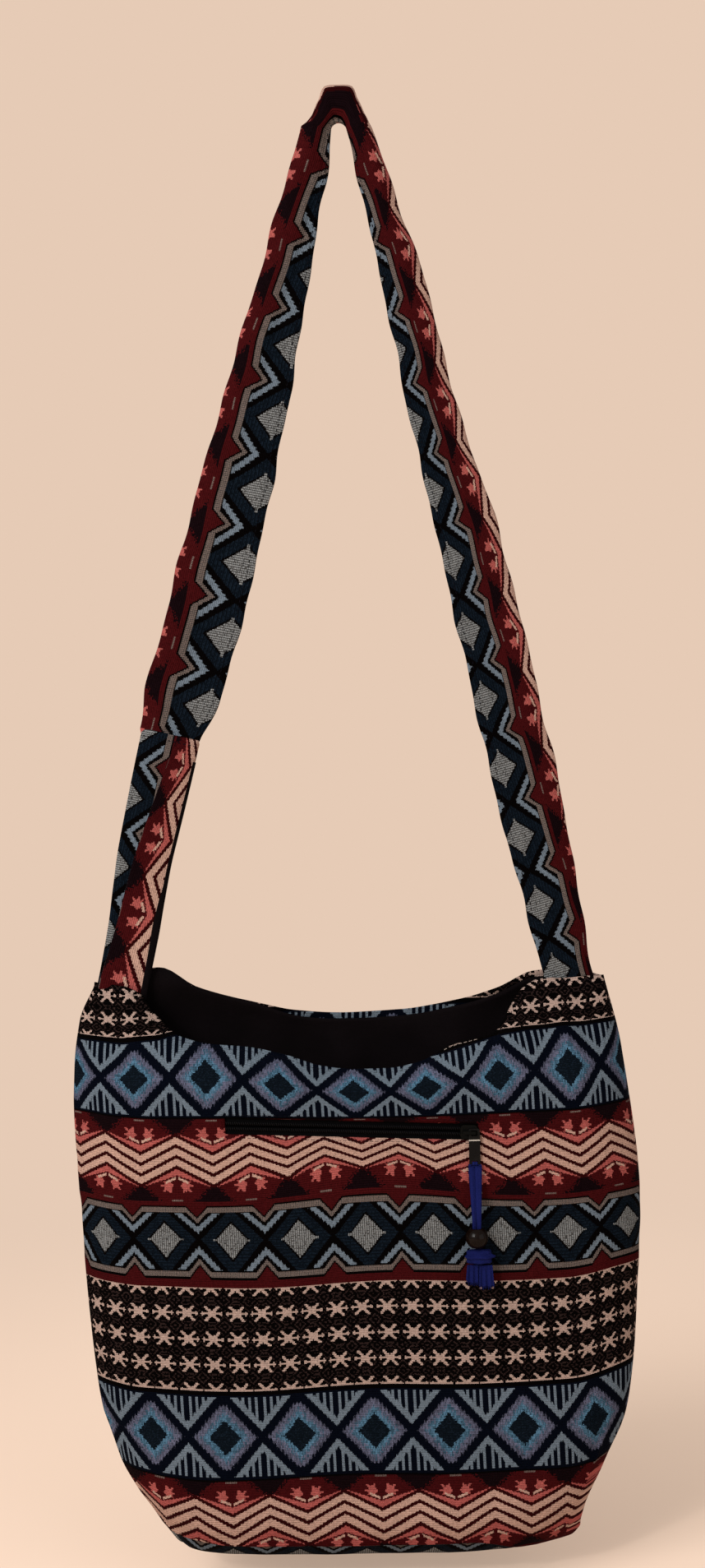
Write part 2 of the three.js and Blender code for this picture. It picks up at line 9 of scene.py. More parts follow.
import bmesh
import bpy
import numpy as np
from mathutils import Matrix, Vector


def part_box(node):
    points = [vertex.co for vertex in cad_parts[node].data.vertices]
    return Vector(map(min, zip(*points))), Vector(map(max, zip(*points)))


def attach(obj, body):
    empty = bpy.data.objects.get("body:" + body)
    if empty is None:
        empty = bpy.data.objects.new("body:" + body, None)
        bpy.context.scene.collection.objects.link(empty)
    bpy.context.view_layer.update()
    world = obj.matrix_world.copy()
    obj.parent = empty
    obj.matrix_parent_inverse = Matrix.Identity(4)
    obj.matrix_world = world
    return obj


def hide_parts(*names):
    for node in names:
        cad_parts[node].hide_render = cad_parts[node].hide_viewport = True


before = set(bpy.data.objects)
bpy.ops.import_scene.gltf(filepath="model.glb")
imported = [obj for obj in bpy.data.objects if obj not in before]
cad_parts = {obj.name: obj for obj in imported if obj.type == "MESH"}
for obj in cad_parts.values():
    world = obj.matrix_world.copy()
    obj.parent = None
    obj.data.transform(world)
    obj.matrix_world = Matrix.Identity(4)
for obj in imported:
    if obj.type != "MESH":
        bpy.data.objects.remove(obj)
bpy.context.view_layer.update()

LOG = logging.getLogger("bag")
CLOTH_MAP = "cloth"
MM = 0.001
MERGE_DISTANCE = 1e-7
RIGHTWARDS = np.array([1.0, 0.0, 0.0])
BACKWARDS = np.array([0.0, 1.0, 0.0])
CAP_SHARES = np.array([0.97, 0.8, 0.45, 0.0])
ROD_SHARES = np.array([0.0, 0.85, 1.0, 0.85, 0.0])

Array = np.ndarray
Colour = tuple[float, float, float, float]
Place = tuple[float, float, float]
Pair = tuple[float, float]
Points = Sequence[Pair]


class Side(Enum):
    """Half of the bag's body, by the sign of its depth."""

    FRONT = -1
    BACK = 1


class Leg(Enum):
    """Leg of the strap, by the sign of its lean."""

    LEFT = -1
    RIGHT = 1


def linear(code: str) -> Colour:
    """Linear colour, with an alpha of 1, of a screen colour's six hexadecimal digits."""
    screen = np.array([int(code[i : i + 2], 16) for i in (0, 2, 4)]) / 255
    light = np.where(screen <= 0.04045, screen / 12.92, ((screen + 0.055) / 1.055) ** 2.4)
    return (float(light[0]), float(light[1]), float(light[2]), 1.0)


def smoothstep(x: Array, low: float, high: float) -> Array:
    """Smooth rise from 0 at low to 1 at high."""
    t = np.clip((x - low) / (high - low), 0, 1)
    return t * t * (3 - 2 * t)


def bell(x: Array, middle: Union[float, Array], reach: float) -> Array:
    """Bell curve: 1 at its middle, falling as a power of e with the square of the distance."""
    return np.exp(-(((x - middle) / reach) ** 2))


def straight(points: Points, x: Array) -> Array:
    """Straight lines through points, level past their ends."""
    return np.interp(x, *np.array(points, float).T)


def monotone(points: Points, x: Array) -> Array:
    """Cubic curve through points that never overshoots them.

    Each slope is the harmonic mean of the rates on its two sides, or 0 where they differ in sign.

    Args:
        points: Positions and values, in order.
        x: Positions to read.

    Returns:
        The curve's values.
    """
    px, py = np.array(points, float).T
    rate = np.diff(py) / np.diff(px)
    before, after = np.append(rate[:1], rate), np.append(rate, rate[-1:])
    same = before * after > 0
    slope = np.where(same, 2 * before * after / np.where(same, before + after, 1), 0)
    i = np.clip(np.searchsorted(px, x) - 1, 0, len(px) - 2)
    span = px[i + 1] - px[i]
    s = np.clip((x - px[i]) / span, 0, 1)
    level = py[i] + (py[i + 1] - py[i]) * s * s * (3 - 2 * s)
    return level + s * (1 - s) ** 2 * span * slope[i] + s * s * (s - 1) * span * slope[i + 1]


def waves(x: Array, y: Array, seed: int, longest: float, count: int = 7) -> Array:
    """Soft uneven waves: a sum of sines with set directions, lengths and starts.

    Args:
        x: First coordinate, in millimetres.
        y: Second coordinate.
        seed: Picks the directions and starts.
        longest: Longest wave, in millimetres.
        count: Number of sines.

    Returns:
        Heights of about -1 to 1.
    """
    rng = np.random.default_rng(seed)
    angle, start = rng.uniform(0, 2 * np.pi, (2, count))
    length = longest * rng.uniform(0.35, 1, count)
    phase = (x[..., None] * np.cos(angle) + y[..., None] * np.sin(angle)) * 2 * np.pi / length + start
    return np.sin(phase).sum(-1) / math.sqrt(count)


def unit(vectors: Array) -> Array:
    """Vectors of length 1, by the last axis."""
    return vectors / np.linalg.norm(vectors, axis=-1, keepdims=True)


def distances(path: Array) -> Array:
    """Distance of each point from the first one, along a path."""
    return np.concatenate([[0], np.cumsum(np.linalg.norm(np.diff(path, axis=0), axis=1))])


def table(rows: Array, columns: Array) -> Array:
    """Grid of pairs, each of one row's value and one column's value."""
    return np.stack(np.meshgrid(rows, columns, indexing="ij"), -1)


def circle(sides: int) -> Array:
    """Angles at even steps once round."""
    return np.linspace(0, 2 * np.pi, sides, endpoint=False)


def around(path: Array, side: Array, back: Array, wide: Array, deep: Array) -> Array:
    """Rings of points round a path, at distances wide and deep along two directions at each of its points."""
    return path[:, None] + wide[..., None] * side[:, None] + deep[..., None] * back[:, None]


def ring_quads(gaps: int, columns: int) -> Array:
    """Faces between rings of points, gaps by columns by 4; each ring is joined to the next."""
    r, c = np.meshgrid(np.arange(gaps), np.arange(columns), indexing="ij")
    here, there, step = r * columns, (r + 1) * columns, (c + 1) % columns
    return np.stack([here + c, here + step, there + step, there + c], -1)


@dataclass
class Surface:
    """Closed quad surface: points in millimetres, faces, and cloth coordinates of their corners."""

    points: Array
    quads: Array
    cloth: Array


def shell(outer: Array, inner: Array, cloth: Array, keep: Optional[Array] = None) -> Surface:
    """Sheet with thickness between two grids, closed along every edge.

    Args:
        outer: Grid of points on one face.
        inner: Grid of points on the other face.
        cloth: Grid of cloth coordinates, shared by both faces.
        keep: Mask of the grid's cells that are cloth; all of them if left out.

    Returns:
        The closed surface.
    """
    rows, columns = outer.shape[:2]
    total = rows * columns
    index = np.arange(total).reshape(rows, columns)
    kept = np.ones((rows - 1, columns - 1), bool) if keep is None else keep
    a, b, c, d = index[:-1, :-1], index[:-1, 1:], index[1:, 1:], index[1:, :-1]
    around = np.pad(kept, 1)
    faces = [np.stack([a, b, c, d], -1)[kept], np.stack([d, c, b, a], -1)[kept] + total]
    sides = (
        (around[:-2, 1:-1], b, a),
        (around[2:, 1:-1], d, c),
        (around[1:-1, :-2], a, d),
        (around[1:-1, 2:], c, b),
    )
    for neighbour, start, end in sides:
        edge = kept & ~neighbour
        faces.append(np.stack([start[edge], end[edge], end[edge] + total, start[edge] + total], -1))
    quads = np.concatenate(faces)
    points = np.concatenate([outer.reshape(-1, 3), inner.reshape(-1, 3)])
    used, quads = np.unique(quads, return_inverse=True)
    quads = quads.reshape(-1, 4)
    corner = cloth.reshape(-1, 2)[used % total]
    return Surface(points[used], quads, corner[quads])


def tube(rings: Array, cloth: Array) -> Surface:
    """Closed solid through rings of points, with a rounded cap of shrinking rings at each end.

    Args:
        rings: Array of rings by points by 3.
        cloth: Cloth coordinates, with one more column than the rings have points, for the seam.

    Returns:
        The closed surface.
    """
    shares = CAP_SHARES[:, None, None]
    top, foot = rings[0].mean(0), rings[-1].mean(0)
    first, last = top + (rings[0] - top) * shares[::-1], foot + (rings[-1] - foot) * shares
    points = np.concatenate([first, rings, last])
    repeat = np.ones(len(cloth), int)
    repeat[[0, -1]] += len(shares)
    coordinates = np.repeat(cloth, repeat, axis=0).reshape(-1, 2)
    rows, columns = points.shape[:2]
    corner = ring_quads(rows - 1, columns + 1)[:, :-1].reshape(-1, 4)
    return Surface(points.reshape(-1, 3), ring_quads(rows - 1, columns).reshape(-1, 4), coordinates[corner])


def joined(surfaces: Sequence[Surface]) -> Surface:
    """Several surfaces as one."""
    starts = np.cumsum([0] + [len(s.points) for s in surfaces[:-1]])
    return Surface(
        np.concatenate([s.points for s in surfaces]),
        np.concatenate([s.quads + start for s, start in zip(surfaces, starts)]),
        np.concatenate([s.cloth for s in surfaces]),
    )


def rods(middles: Array, radius: float, sides: int = 6) -> Surface:
    """Short rods of thread that narrow to a point at both ends.

    Args:
        middles: Array of rods by 5 points by 3.
        radius: Radius of the thread.
        sides: Sides of each rod.

    Returns:
        All rods as one surface.
    """
    count, steps = middles.shape[:2]
    along = np.gradient(middles, axis=1)
    side = unit(np.cross(along, BACKWARDS))
    up = unit(np.cross(side, along))
    angle = circle(sides)[:, None]
    ring = np.cos(angle) * side[:, :, None] + np.sin(angle) * up[:, :, None]
    points = middles[:, :, None] + radius * ROD_SHARES[:, None, None] * ring
    one = ring_quads(steps - 1, sides).reshape(-1, 4)
    quads = (np.arange(count)[:, None, None] * steps * sides + one).reshape(-1, 4)
    return Surface(points.reshape(-1, 3), quads, np.zeros((len(quads), 4, 2)))


def frames_along(path: Array) -> tuple[Array, Array, Array]:
    """Unit vectors along a path that faces the viewer, across it to the side, and towards the back."""
    along = unit(np.gradient(path, axis=0))
    across = unit(np.cross(along, BACKWARDS))
    return along, across, np.cross(across, along)


def normals(grid: Array) -> Array:
    """Unit normals of a grid of points, by the cross product of its two slopes."""
    n = np.cross(np.gradient(grid, axis=1), np.gradient(grid, axis=0))
    return n / np.maximum(np.linalg.norm(n, axis=-1, keepdims=True), 1e-9)


def smooth_path(knots: Array, count: int) -> Array:
    """Even points on a Catmull-Rom curve through knots.

    Args:
        knots: Points that the curve passes.
        count: Number of points returned.

    Returns:
        Points at equal steps of the curve's parameter.
    """
    ends = np.concatenate([[2 * knots[0] - knots[1]], knots, [2 * knots[-1] - knots[-2]]])
    t = np.linspace(0, len(knots) - 1, count)
    i = np.minimum(t.astype(int), len(knots) - 2)
    s = (t - i)[:, None]
    p0, p1, p2, p3 = ends[i], ends[i + 1], ends[i + 2], ends[i + 3]
    slope, bend, twist = p2 - p0, 2 * p0 - 5 * p1 + 4 * p2 - p3, 3 * p1 - p0 - 3 * p2 + p3
    return 0.5 * (2 * p1 + slope * s + bend * s**2 + twist * s**3)


def piece(name: str, surface: Surface, material: bpy.types.Material) -> bpy.types.Object:
    """Object of a surface, with its cloth map, smooth shading and outward faces.

    Args:
        name: Name of the piece.
        surface: Points in millimetres, faces and cloth coordinates.
        material: Its finish.

    Returns:
        The new object, linked to the scene.
    """
    mesh = bpy.data.meshes.new(name)
    count, faces = len(surface.points), len(surface.quads)
    mesh.vertices.add(count)
    mesh.vertices.foreach_set("co", (surface.points * MM).astype(np.float32).ravel())
    mesh.loops.add(4 * faces)
    mesh.loops.foreach_set("vertex_index", surface.quads.astype(np.int32).ravel())
    mesh.polygons.add(faces)
    mesh.polygons.foreach_set("loop_start", np.arange(0, 4 * faces, 4, dtype=np.int32))
    mesh.polygons.foreach_set("loop_total", np.full(faces, 4, np.int32))
    layer = mesh.uv_layers.new(name=CLOTH_MAP)
    layer.data.foreach_set("uv", (surface.cloth * MM).astype(np.float32).ravel())
    mesh.update()
    mesh.validate()
    work = bmesh.new()
    work.from_mesh(mesh)
    bmesh.ops.remove_doubles(work, verts=work.verts, dist=MERGE_DISTANCE)
    bmesh.ops.recalc_face_normals(work, faces=work.faces)
    work.to_mesh(mesh)
    work.free()
    mesh.polygons.foreach_set("use_smooth", np.ones(len(mesh.polygons), bool))
    mesh.materials.append(material)
    made = bpy.data.objects.new(name, mesh)
    bpy.context.scene.collection.objects.link(made)
    return made


Value = Union["Socket", float]


def math_method(operation: str) -> Callable[..., "Socket"]:
    """Method of a socket that hands it, and any other value, to a Math node of one operation."""
    return lambda socket, *others: socket.paint.math(operation, socket, *others)


@dataclass
class Socket:
    """Output of a shader node, on which Python's operators add Math nodes.

    Comparisons give masks of 1 and 0, a remainder is never negative, and a bounce is the distance from the
    nearest multiple of twice the value it is given.
    """

    paint: "Paint"
    link: bpy.types.NodeSocket

    __add__ = __radd__ = math_method("ADD")
    __sub__ = math_method("SUBTRACT")
    __mul__ = __rmul__ = math_method("MULTIPLY")
    __truediv__ = math_method("DIVIDE")
    __mod__ = math_method("FLOORED_MODULO")
    __lt__ = math_method("LESS_THAN")
    __gt__ = math_method("GREATER_THAN")
    __abs__ = math_method("ABSOLUTE")
    __or__ = most = math_method("MAXIMUM")
    least = math_method("MINIMUM")
    floor = math_method("FLOOR")
    sine = math_method("SINE")
    bounce = math_method("PINGPONG")

    def __rsub__(self, other: Value) -> "Socket":
        """Difference with this value second."""
        return self.paint.math("SUBTRACT", other, self)

    def between(self, low: float, high: float) -> "Socket":
        """1 inside a range, else 0."""
        return (self > low) * (self < high)


class Paint:
    """Node tree of one material, grown by expressions and by one method for any node."""

    def __init__(self, name: str) -> None:
        """Starts an empty material.

        Args:
            name: Name of the material.
        """
        self.material = bpy.data.materials.new(name)
        self.material.use_nodes = True
        self.tree = self.material.node_tree
        self.tree.nodes.clear()

    def node(
        self,
        kind: str,
        settings: Optional[dict[str, Any]] = None,
        inputs: Optional[dict[Union[int, str], Any]] = None,
        output: Union[int, str] = 0,
    ) -> Socket:
        """Adds one node.

        Args:
            kind: Type of the node.
            settings: Its properties, set before its sockets; "stops" fills a colour ramp.
            inputs: Values or links of its sockets.
            output: The output that is returned.

        Returns:
            The chosen output.
        """
        made = self.tree.nodes.new(kind)
        for key, value in (settings or {}).items():
            if key == "stops":
                ramp = made.color_ramp.elements
                for position, _ in value[len(ramp) :]:
                    ramp.new(position)
                for stop, (position, colour) in zip(ramp, value):
                    stop.position, stop.color = position, colour
            else:
                setattr(made, key, value)
        for key, value in (inputs or {}).items():
            if isinstance(value, Socket):
                self.tree.links.new(value.link, made.inputs[key])
            else:
                made.inputs[key].default_value = value
        return Socket(self, made.outputs[output])

    def math(self, operation: str, *values: Value) -> Socket:
        """Adds a Math node on values."""
        return self.node("ShaderNodeMath", {"operation": operation}, dict(enumerate(values)))

    def blend(self, share: Value, under: Any, over: Any, mode: str = "MIX") -> Socket:
        """Colour between two colours.

        Args:
            share: 0 for the colour under, 1 for the colour over.
            under: First colour.
            over: Second colour.
            mode: Blend mode.

        Returns:
            The mixed colour.
        """
        settings = {"data_type": "RGBA", "blend_type": mode}
        return self.node("ShaderNodeMix", settings, {0: share, 6: under, 7: over}, 2)

    def grey(self, value: Value) -> Socket:
        """Grey colour of a value."""
        return self.node("ShaderNodeCombineColor", None, {0: value, 1: value, 2: value})

    def pair(self, place: Socket, second: int) -> tuple[Socket, Socket]:
        """First and another coordinate of a place in metres, turned to millimetres."""
        first = self.node("ShaderNodeSeparateXYZ", None, {0: place}, 0)
        other = Socket(self, first.link.node.outputs[second])
        return first * (1 / MM), other * (1 / MM)

    def cloth(self) -> tuple[Socket, Socket]:
        """Cloth coordinates in millimetres, along the bands and across them."""
        return self.pair(self.node("ShaderNodeUVMap", {"uv_map": CLOTH_MAP}), 1)

    def level(self) -> tuple[Socket, Socket]:
        """Object coordinates in millimetres, across and up."""
        return self.pair(self.place(), 2)

    def place(self) -> Socket:
        """Object coordinates, in metres."""
        return self.node("ShaderNodeTexCoord", None, None, "Object")

    def noise(self, scale: float, detail: float = 2.0, at: Optional[Socket] = None) -> Socket:
        """Soft noise of about 0 to 1 at a scale, in features per metre."""
        where = at if at is not None else self.place()
        return self.node("ShaderNodeTexNoise", None, {"Vector": where, "Scale": scale, "Detail": detail})

    def speckle(self, column: Socket, row: Socket) -> Socket:
        """Random value of 0 to 1 for each cell of a grid."""
        cell = self.node("ShaderNodeCombineXYZ", None, {0: column, 1: row})
        return self.node("ShaderNodeTexWhiteNoise", {"noise_dimensions": "2D"}, {"Vector": cell})

    def bump(self, height: Socket, depth: float, strength: float = 1.0) -> Socket:
        """Normal of a surface with a height of 0 to 1 over a depth in millimetres."""
        inputs = {"Strength": strength, "Distance": depth * MM, "Height": height}
        return self.node("ShaderNodeBump", None, inputs)

    def finish(self, **sockets: Any) -> bpy.types.Material:
        """Closes the material with one surface shader.

        Args:
            sockets: Values or links of the shader, with underscores for spaces.

        Returns:
            The finished material.
        """
        inputs = {key.replace("_", " "): value for key, value in sockets.items()}
        shader = self.node("ShaderNodeBsdfPrincipled", None, inputs)
        self.node_output(shader)
        return self.material

    def node_output(self, shader: Socket) -> None:
        """Joins a shader to the material's output."""
        out = self.tree.nodes.new("ShaderNodeOutputMaterial")
        self.tree.links.new(shader.link, out.inputs["Surface"])


@dataclass(frozen=True)
class Yarns:
    """Colours of the yarns in the banded cloth, and the lighter blue of painted glints on its dark threads."""

    soot: Colour = linear("050303")
    cream: Colour = linear("bb9686")
    ivory: Colour = linear("b0968a")
    mauve: Colour = linear("2c201e")
    navy: Colour = linear("050812")
    ink: Colour = linear("0c131a")
    sky: Colour = linear("4a6c83")
    lavender: Colour = linear("55576a")
    pale: Colour = linear("68747f")
    maroon: Colour = linear("3d0d0f")
    ember: Colour = linear("12070a")
    wine: Colour = linear("2c0708")
    coral: Colour = linear("a6544f")
    teal: Colour = linear("0b1118")
    # Painted glint: a lighter blue that stands in for light catching the dark threads.
    painted_glint: Colour = linear("121b25")
    mist: Colour = linear("848686")
    stone: Colour = linear("6c5f59")
    ash: Colour = linear("3d3c3b")


@dataclass(frozen=True)
class Bands:
    """Layout of the woven bands, in millimetres of cloth."""

    period: float = 228.6
    start: float = 570.6
    lean: float = 0.039
    lean_from: float = 826.0
    shift: float = 7.0
    cell_along: float = 0.8
    cell_across: float = 0.54
    fleck_along: float = 0.62
    fleck_across: float = 1.7
    half_pitch: float = 23.25
    blue_half: float = 26.1
    red_from: float = 53.3
    red_lap: float = 1.1
    red_height: float = 51.3
    red_shift: float = 2.0
    zigzag: float = 11.8
    teal_middle: float = 132.1
    teal_half: float = 25.05
    teal_half_pitch: float = 20.95
    teal_shift: float = 2.2
    star_from: float = 162.1
    star_rows: float = 7.95
    star_columns: float = 7.785
    star_shift: float = 3.4
    wear_scale: float = 22.0
    rib_depth: float = 0.3


@dataclass(frozen=True)
class Weave:
    """Place in the banded cloth, in millimetres: whole cells, and random values by cell and by thread."""

    s: Socket
    fine: Socket
    w: Socket
    speck: Socket
    fleck: Socket

    def flame(self, pitch: float = 2.3) -> Socket:
        """Saw of 0 to half the pitch along the band, for edges that end in threads."""
        return abs(self.fine % pitch - pitch / 2)

    def ribs(self, dark: float, pitch: float = 2.16) -> Socket:
        """1 in the last part of each rib across the band, past its dark part, else 0."""
        return self.w % pitch > dark


@dataclass(frozen=True)
class BandedCloth:
    """Woven cloth with bands of stars, blue diamonds, red zigzags and dark hexagons.

    The values that each figure starts with are distances in millimetres of cloth, slopes, or shares.
    """

    name: str = "banded_cloth"
    yarns: Yarns = Yarns()
    bands: Bands = Bands()

    def blue(self, paint: Paint, at: Weave) -> Socket:
        """Blue band: diamonds with rings and dark cores, and striped triangles at the edges.

        Args:
            paint: The material.
            at: Place in the cloth.

        Returns:
            The band's colour.
        """
        y, b = self.yarns, self.bands
        off = abs(at.w - b.blue_half)
        d = at.s.bounce(b.half_pitch) / b.half_pitch + off / b.blue_half
        fray, depth = 0.06, 1.3
        rim, half, uneven = 0.92, 20.6, 0.08
        ring = (d + at.flame() * fray + at.fleck * uneven < rim) * (off + at.flame() * depth < half)
        edge, contrast = 0.73, 5.0
        inner = (edge - d) * contrast > at.fleck
        low, rise = 0.5, 0.85
        streak = paint.grey(low + at.fleck * rise)
        wool = paint.blend(1.0, paint.blend(inner, y.lavender, y.sky), streak, "MULTIPLY")
        colour = paint.blend(ring, y.navy, wool)
        # Dark core, with painted glints of lighter blue at random cells.
        edge, uneven, glint_from = 0.45, 0.05, 0.8
        core = paint.blend(at.speck > glint_from, y.ink, y.painted_glint)
        colour = paint.blend(d + at.speck * uneven < edge, colour, core)
        start, pitch, half = 0.6, 4.1, 0.85
        aside = b.half_pitch - at.fine.bounce(b.half_pitch)
        stripes = abs((aside - start) % pitch - pitch / 2) < half
        edge, rim, above, below = 1.13, 1.38, 1.2, 1.4
        outline = (d + at.flame() * fray < rim) | stripes
        light = (d - at.flame() * (fray / 2) > edge) * outline * at.w.between(above, 2 * b.blue_half - below)
        return paint.blend(light, colour, y.pale)

    def leaf(self, t: Socket, h: Socket) -> Socket:
        """1 on a pointed leaf beside a motif's middle, else 0: a diamond with four spikes.

        Args:
            t: Distance from the motif's middle along the band.
            h: Distance from the band's edge.

        Returns:
            The mask.
        """
        aside, down, half_width, half_height = 5.6, 10.0, 3.5, 3.8
        spike, slanted = 0.66, 0.8
        a, c = t - aside, h - down
        body = abs(a) / half_width + abs(c) / half_height < 1.0
        stalk, tip = 4.3, 5.4
        near = (abs(t - stalk) < spike) * h.between(tip, down)
        lean, tip = 0.8, 6.0
        high = (abs(a + c * lean) < slanted) * h.between(tip, down)
        tip = 10.2
        side = (abs(c) < spike) * t.between(aside, tip)
        lean, tip = 1.1, 12.8
        low = (abs(a - c * lean) < slanted) * h.between(down, tip)
        return body | near | high | side | low

    def red(self, paint: Paint, at: Weave) -> Socket:
        """Red band: zigzag stripes between two rows of twin leaves that mirror each other.

        Args:
            paint: The material.
            at: Place in the cloth.

        Returns:
            The band's colour.
        """
        y, b = self.yarns, self.bands
        place = (at.s - b.red_shift).bounce(b.half_pitch)
        depth = at.w - b.red_from
        slope = b.zigzag / b.half_pitch
        q = depth + place * slope
        t = place + (b.half_pitch - place * 2.0) * (depth > b.red_height / 2)
        h = depth.least(b.red_height - depth)
        level, wide, tall, uneven, foot = 1.25, 12.5, 11.0, 0.42, 0.3
        dark = level - (b.half_pitch - t) / wide - h / tall > at.speck * uneven
        colour = paint.blend(dark * (depth < b.red_height - foot), y.maroon, y.ember)
        start, pitch, count, margin = 21.7, 6.63, 3, 1.6
        fray, top, fall, reach = 0.5, 16.7, 0.33, 21.5
        stripe = (h + at.flame() * fray > top - t * fall) * (h + t * slope < start) * (t < reach)
        colour = paint.blend(stripe | self.leaf(t, h), colour, y.coral)
        top, fall, half, near, far = 14.9, 0.42, 0.8, 0.9, 7.2
        colour = paint.blend((abs(h - top + t * fall) < half) * t.between(near, far), colour, y.cream)
        tooth, gap, low, high, reach = 0.95, 0.3, 0.1, 1.2, 3.6
        comb = at.fine % tooth > gap
        colour = paint.blend(h.between(low, high) * (t < reach) * comb, colour, y.stone)
        end = start + count * pitch
        colour = paint.blend(q.between(start, end), colour, y.cream)
        step, half, rise = 2.4, 0.88, 0.5
        wide = half + abs((at.fine * (math.pi / step)).sine()) * rise
        line = abs((q - start + pitch / 2) % pitch - pitch / 2) < wide
        colour = paint.blend(line * q.between(start - margin, end + margin), colour, y.wine)
        return paint.blend(depth < 0.0, colour, y.soot)

    def hexagons(self, paint: Paint, at: Weave) -> Socket:
        """Dark band: hexagons round pale diamonds, with chevrons between them and a grey border.

        Args:
            paint: The material.
            at: Place in the cloth.

        Returns:
            The band's colour.
        """
        y, b = self.yarns, self.bands
        t = (at.s - b.teal_shift).bounce(b.teal_half_pitch)
        h = abs(at.w - b.teal_middle)
        far = b.teal_half_pitch - t
        wide, tall = 10.2, 12.2
        d = t / wide + h / tall
        wide, tall, inner_wide, inner_tall = 19.6, 23.0, 11.6, 14.2
        ring = (t / wide + h / tall < 1.0) * (t / inner_wide + h / inner_tall > 1.0)
        dark, uneven = 1.08, 0.4
        # Painted glints: lighter blue dashes on the dark teal, at random cells in the last part of each rib.
        ribs = at.ribs(dark) * (at.speck > uneven)
        colour = paint.blend(ring, y.soot, paint.blend(ribs, y.teal, y.painted_glint))
        pitch, light, uneven, spike = 1.35, 0.85, 0.86, 0.7
        hatch = paint.blend((at.fine % pitch > light) | (at.speck > uneven), y.mist, y.ash)
        colour = paint.blend((d < 1.0) | ((h < spike) * (t < inner_wide)), colour, hatch)
        lean, low, low_fray, top, top_fray = 1.05, 4.2, 1.3, 9.9, 0.8
        slope = far * lean
        level, flat, fall, clear = 23.65, 14.2, 1.2, 4.2
        rim = level - (t - flat).most(0.0) * fall
        above = h > slope + at.flame() * low_fray + low
        chevron = above * (h + at.flame() * top_fray < slope + top) * (h < rim - clear)
        colour = paint.blend(chevron, colour, y.pale)
        pitch, light, uneven, wide, line = 1.1, 0.7, 0.3, 3.3, 1.5
        border = paint.blend((at.fine % pitch > light) * (at.speck > uneven), y.stone, y.ash)
        colour = paint.blend((h > rim - wide) * (h < rim), colour, border)
        return paint.blend(h > rim + line, colour, y.maroon)

    def stars(self, paint: Paint, at: Weave) -> Socket:
        """Star band: rows of eight-armed stars on a dark ground, with half stars along both edges.

        Args:
            paint: The material.
            at: Place in the cloth.

        Returns:
            The band's colour.
        """
        y, b = self.yarns, self.bands
        a = (at.s + b.star_shift).bounce(b.star_columns)
        h = at.w - b.star_from
        r = h.bounce(b.star_rows)
        row_count = 8
        tall = row_count * b.star_rows
        lean, half, growth, reach = 0.93, 0.75, 0.06, 4.7
        arms = (abs(a - r * lean) < half + (a + r) * growth) * (a.most(r) < reach)
        half, reach = 0.45, 5.2
        bar = (r < half) * (a < reach)
        aside, lean, reach = 5.8, 1.5, 1.6
        tick = abs(a - aside) * lean + r < reach
        aside, half, reach = 1.0, 0.45, 2.7
        spur = (abs(a - aside) < half) * (r < reach)
        half_width, half_height = 2.6, 1.75
        middle = (a < half_width) * (r < half_height)
        height, reach = 0.75, 7.2
        edge = (h < height) | (h > tall - height)
        light = arms | bar | tick | spur | middle | (edge * (a < reach))
        far = (b.star_columns - a) + (b.star_rows - r)
        half, start, dark = 2.3, 5.2, 1.4
        dots = (a < half) * (r > start) * at.ribs(dark)
        near, near_half, wide, wide_half, core, uneven = 3.4, 0.55, 6.6, 0.45, 0.9, 0.25
        faint = (abs(far - near) < near_half) | (abs(far - wide) < wide_half) | (far < core) | dots
        colour = paint.blend(faint * (at.speck > uneven), y.soot, y.mauve)
        colour = paint.blend(light, colour, y.ivory)
        return paint.blend(h > tall, colour, y.soot)

    def make(self) -> bpy.types.Material:
        """The cloth's material: bands read from cloth coordinates in whole weave cells, with ribs and painted
        shade in the grooves between them.
        """
        paint, y, b = Paint(self.name), self.yarns, self.bands
        along, across = paint.cloth()
        column = (along / b.cell_along).floor()
        row = (across / b.cell_across).floor()
        speck = paint.speckle(column, row)
        fleck = paint.speckle((along / b.fleck_along).floor(), (across / b.fleck_across).floor())
        v = (row + 0.5) * b.cell_across
        lean = (v - b.lean_from) * b.lean + b.shift
        w = (v - b.start) % b.period
        at = Weave((column + 0.5) * b.cell_along - lean, along - lean, w, speck, fleck)
        colour = self.blue(paint, at)
        colour = paint.blend(w > b.red_from - b.red_lap, colour, self.red(paint, at))
        colour = paint.blend(w > b.teal_middle - b.teal_half, colour, self.hexagons(paint, at))
        colour = paint.blend(w > b.teal_middle + b.teal_half, colour, y.maroon)
        colour = paint.blend(w > b.star_from, colour, self.stars(paint, at))
        wear = paint.noise(b.wear_scale, 3.0)
        # The rib term darkens each weft rib towards its edges: painted shade in the grooves; the speck, fleck
        # and wear terms vary the tone at random.
        rib = abs((across * (math.pi / (2 * b.cell_across))).sine())
        level = 0.2 + speck * 0.2 + fleck * 0.16 + wear * 0.16 + rib * 0.36
        colour = paint.blend(1.0, colour, paint.grey(level), "MULTIPLY")
        cord = (along * (2 * math.pi / b.cell_along)).sine()
        height = rib * 0.7 + cord * 0.12 + speck * 0.25
        return paint.finish(
            Base_Color=colour,
            Roughness=0.9 - speck * 0.08,
            Normal=paint.bump(height, b.rib_depth),
            Specular_IOR_Level=0.01,
        )


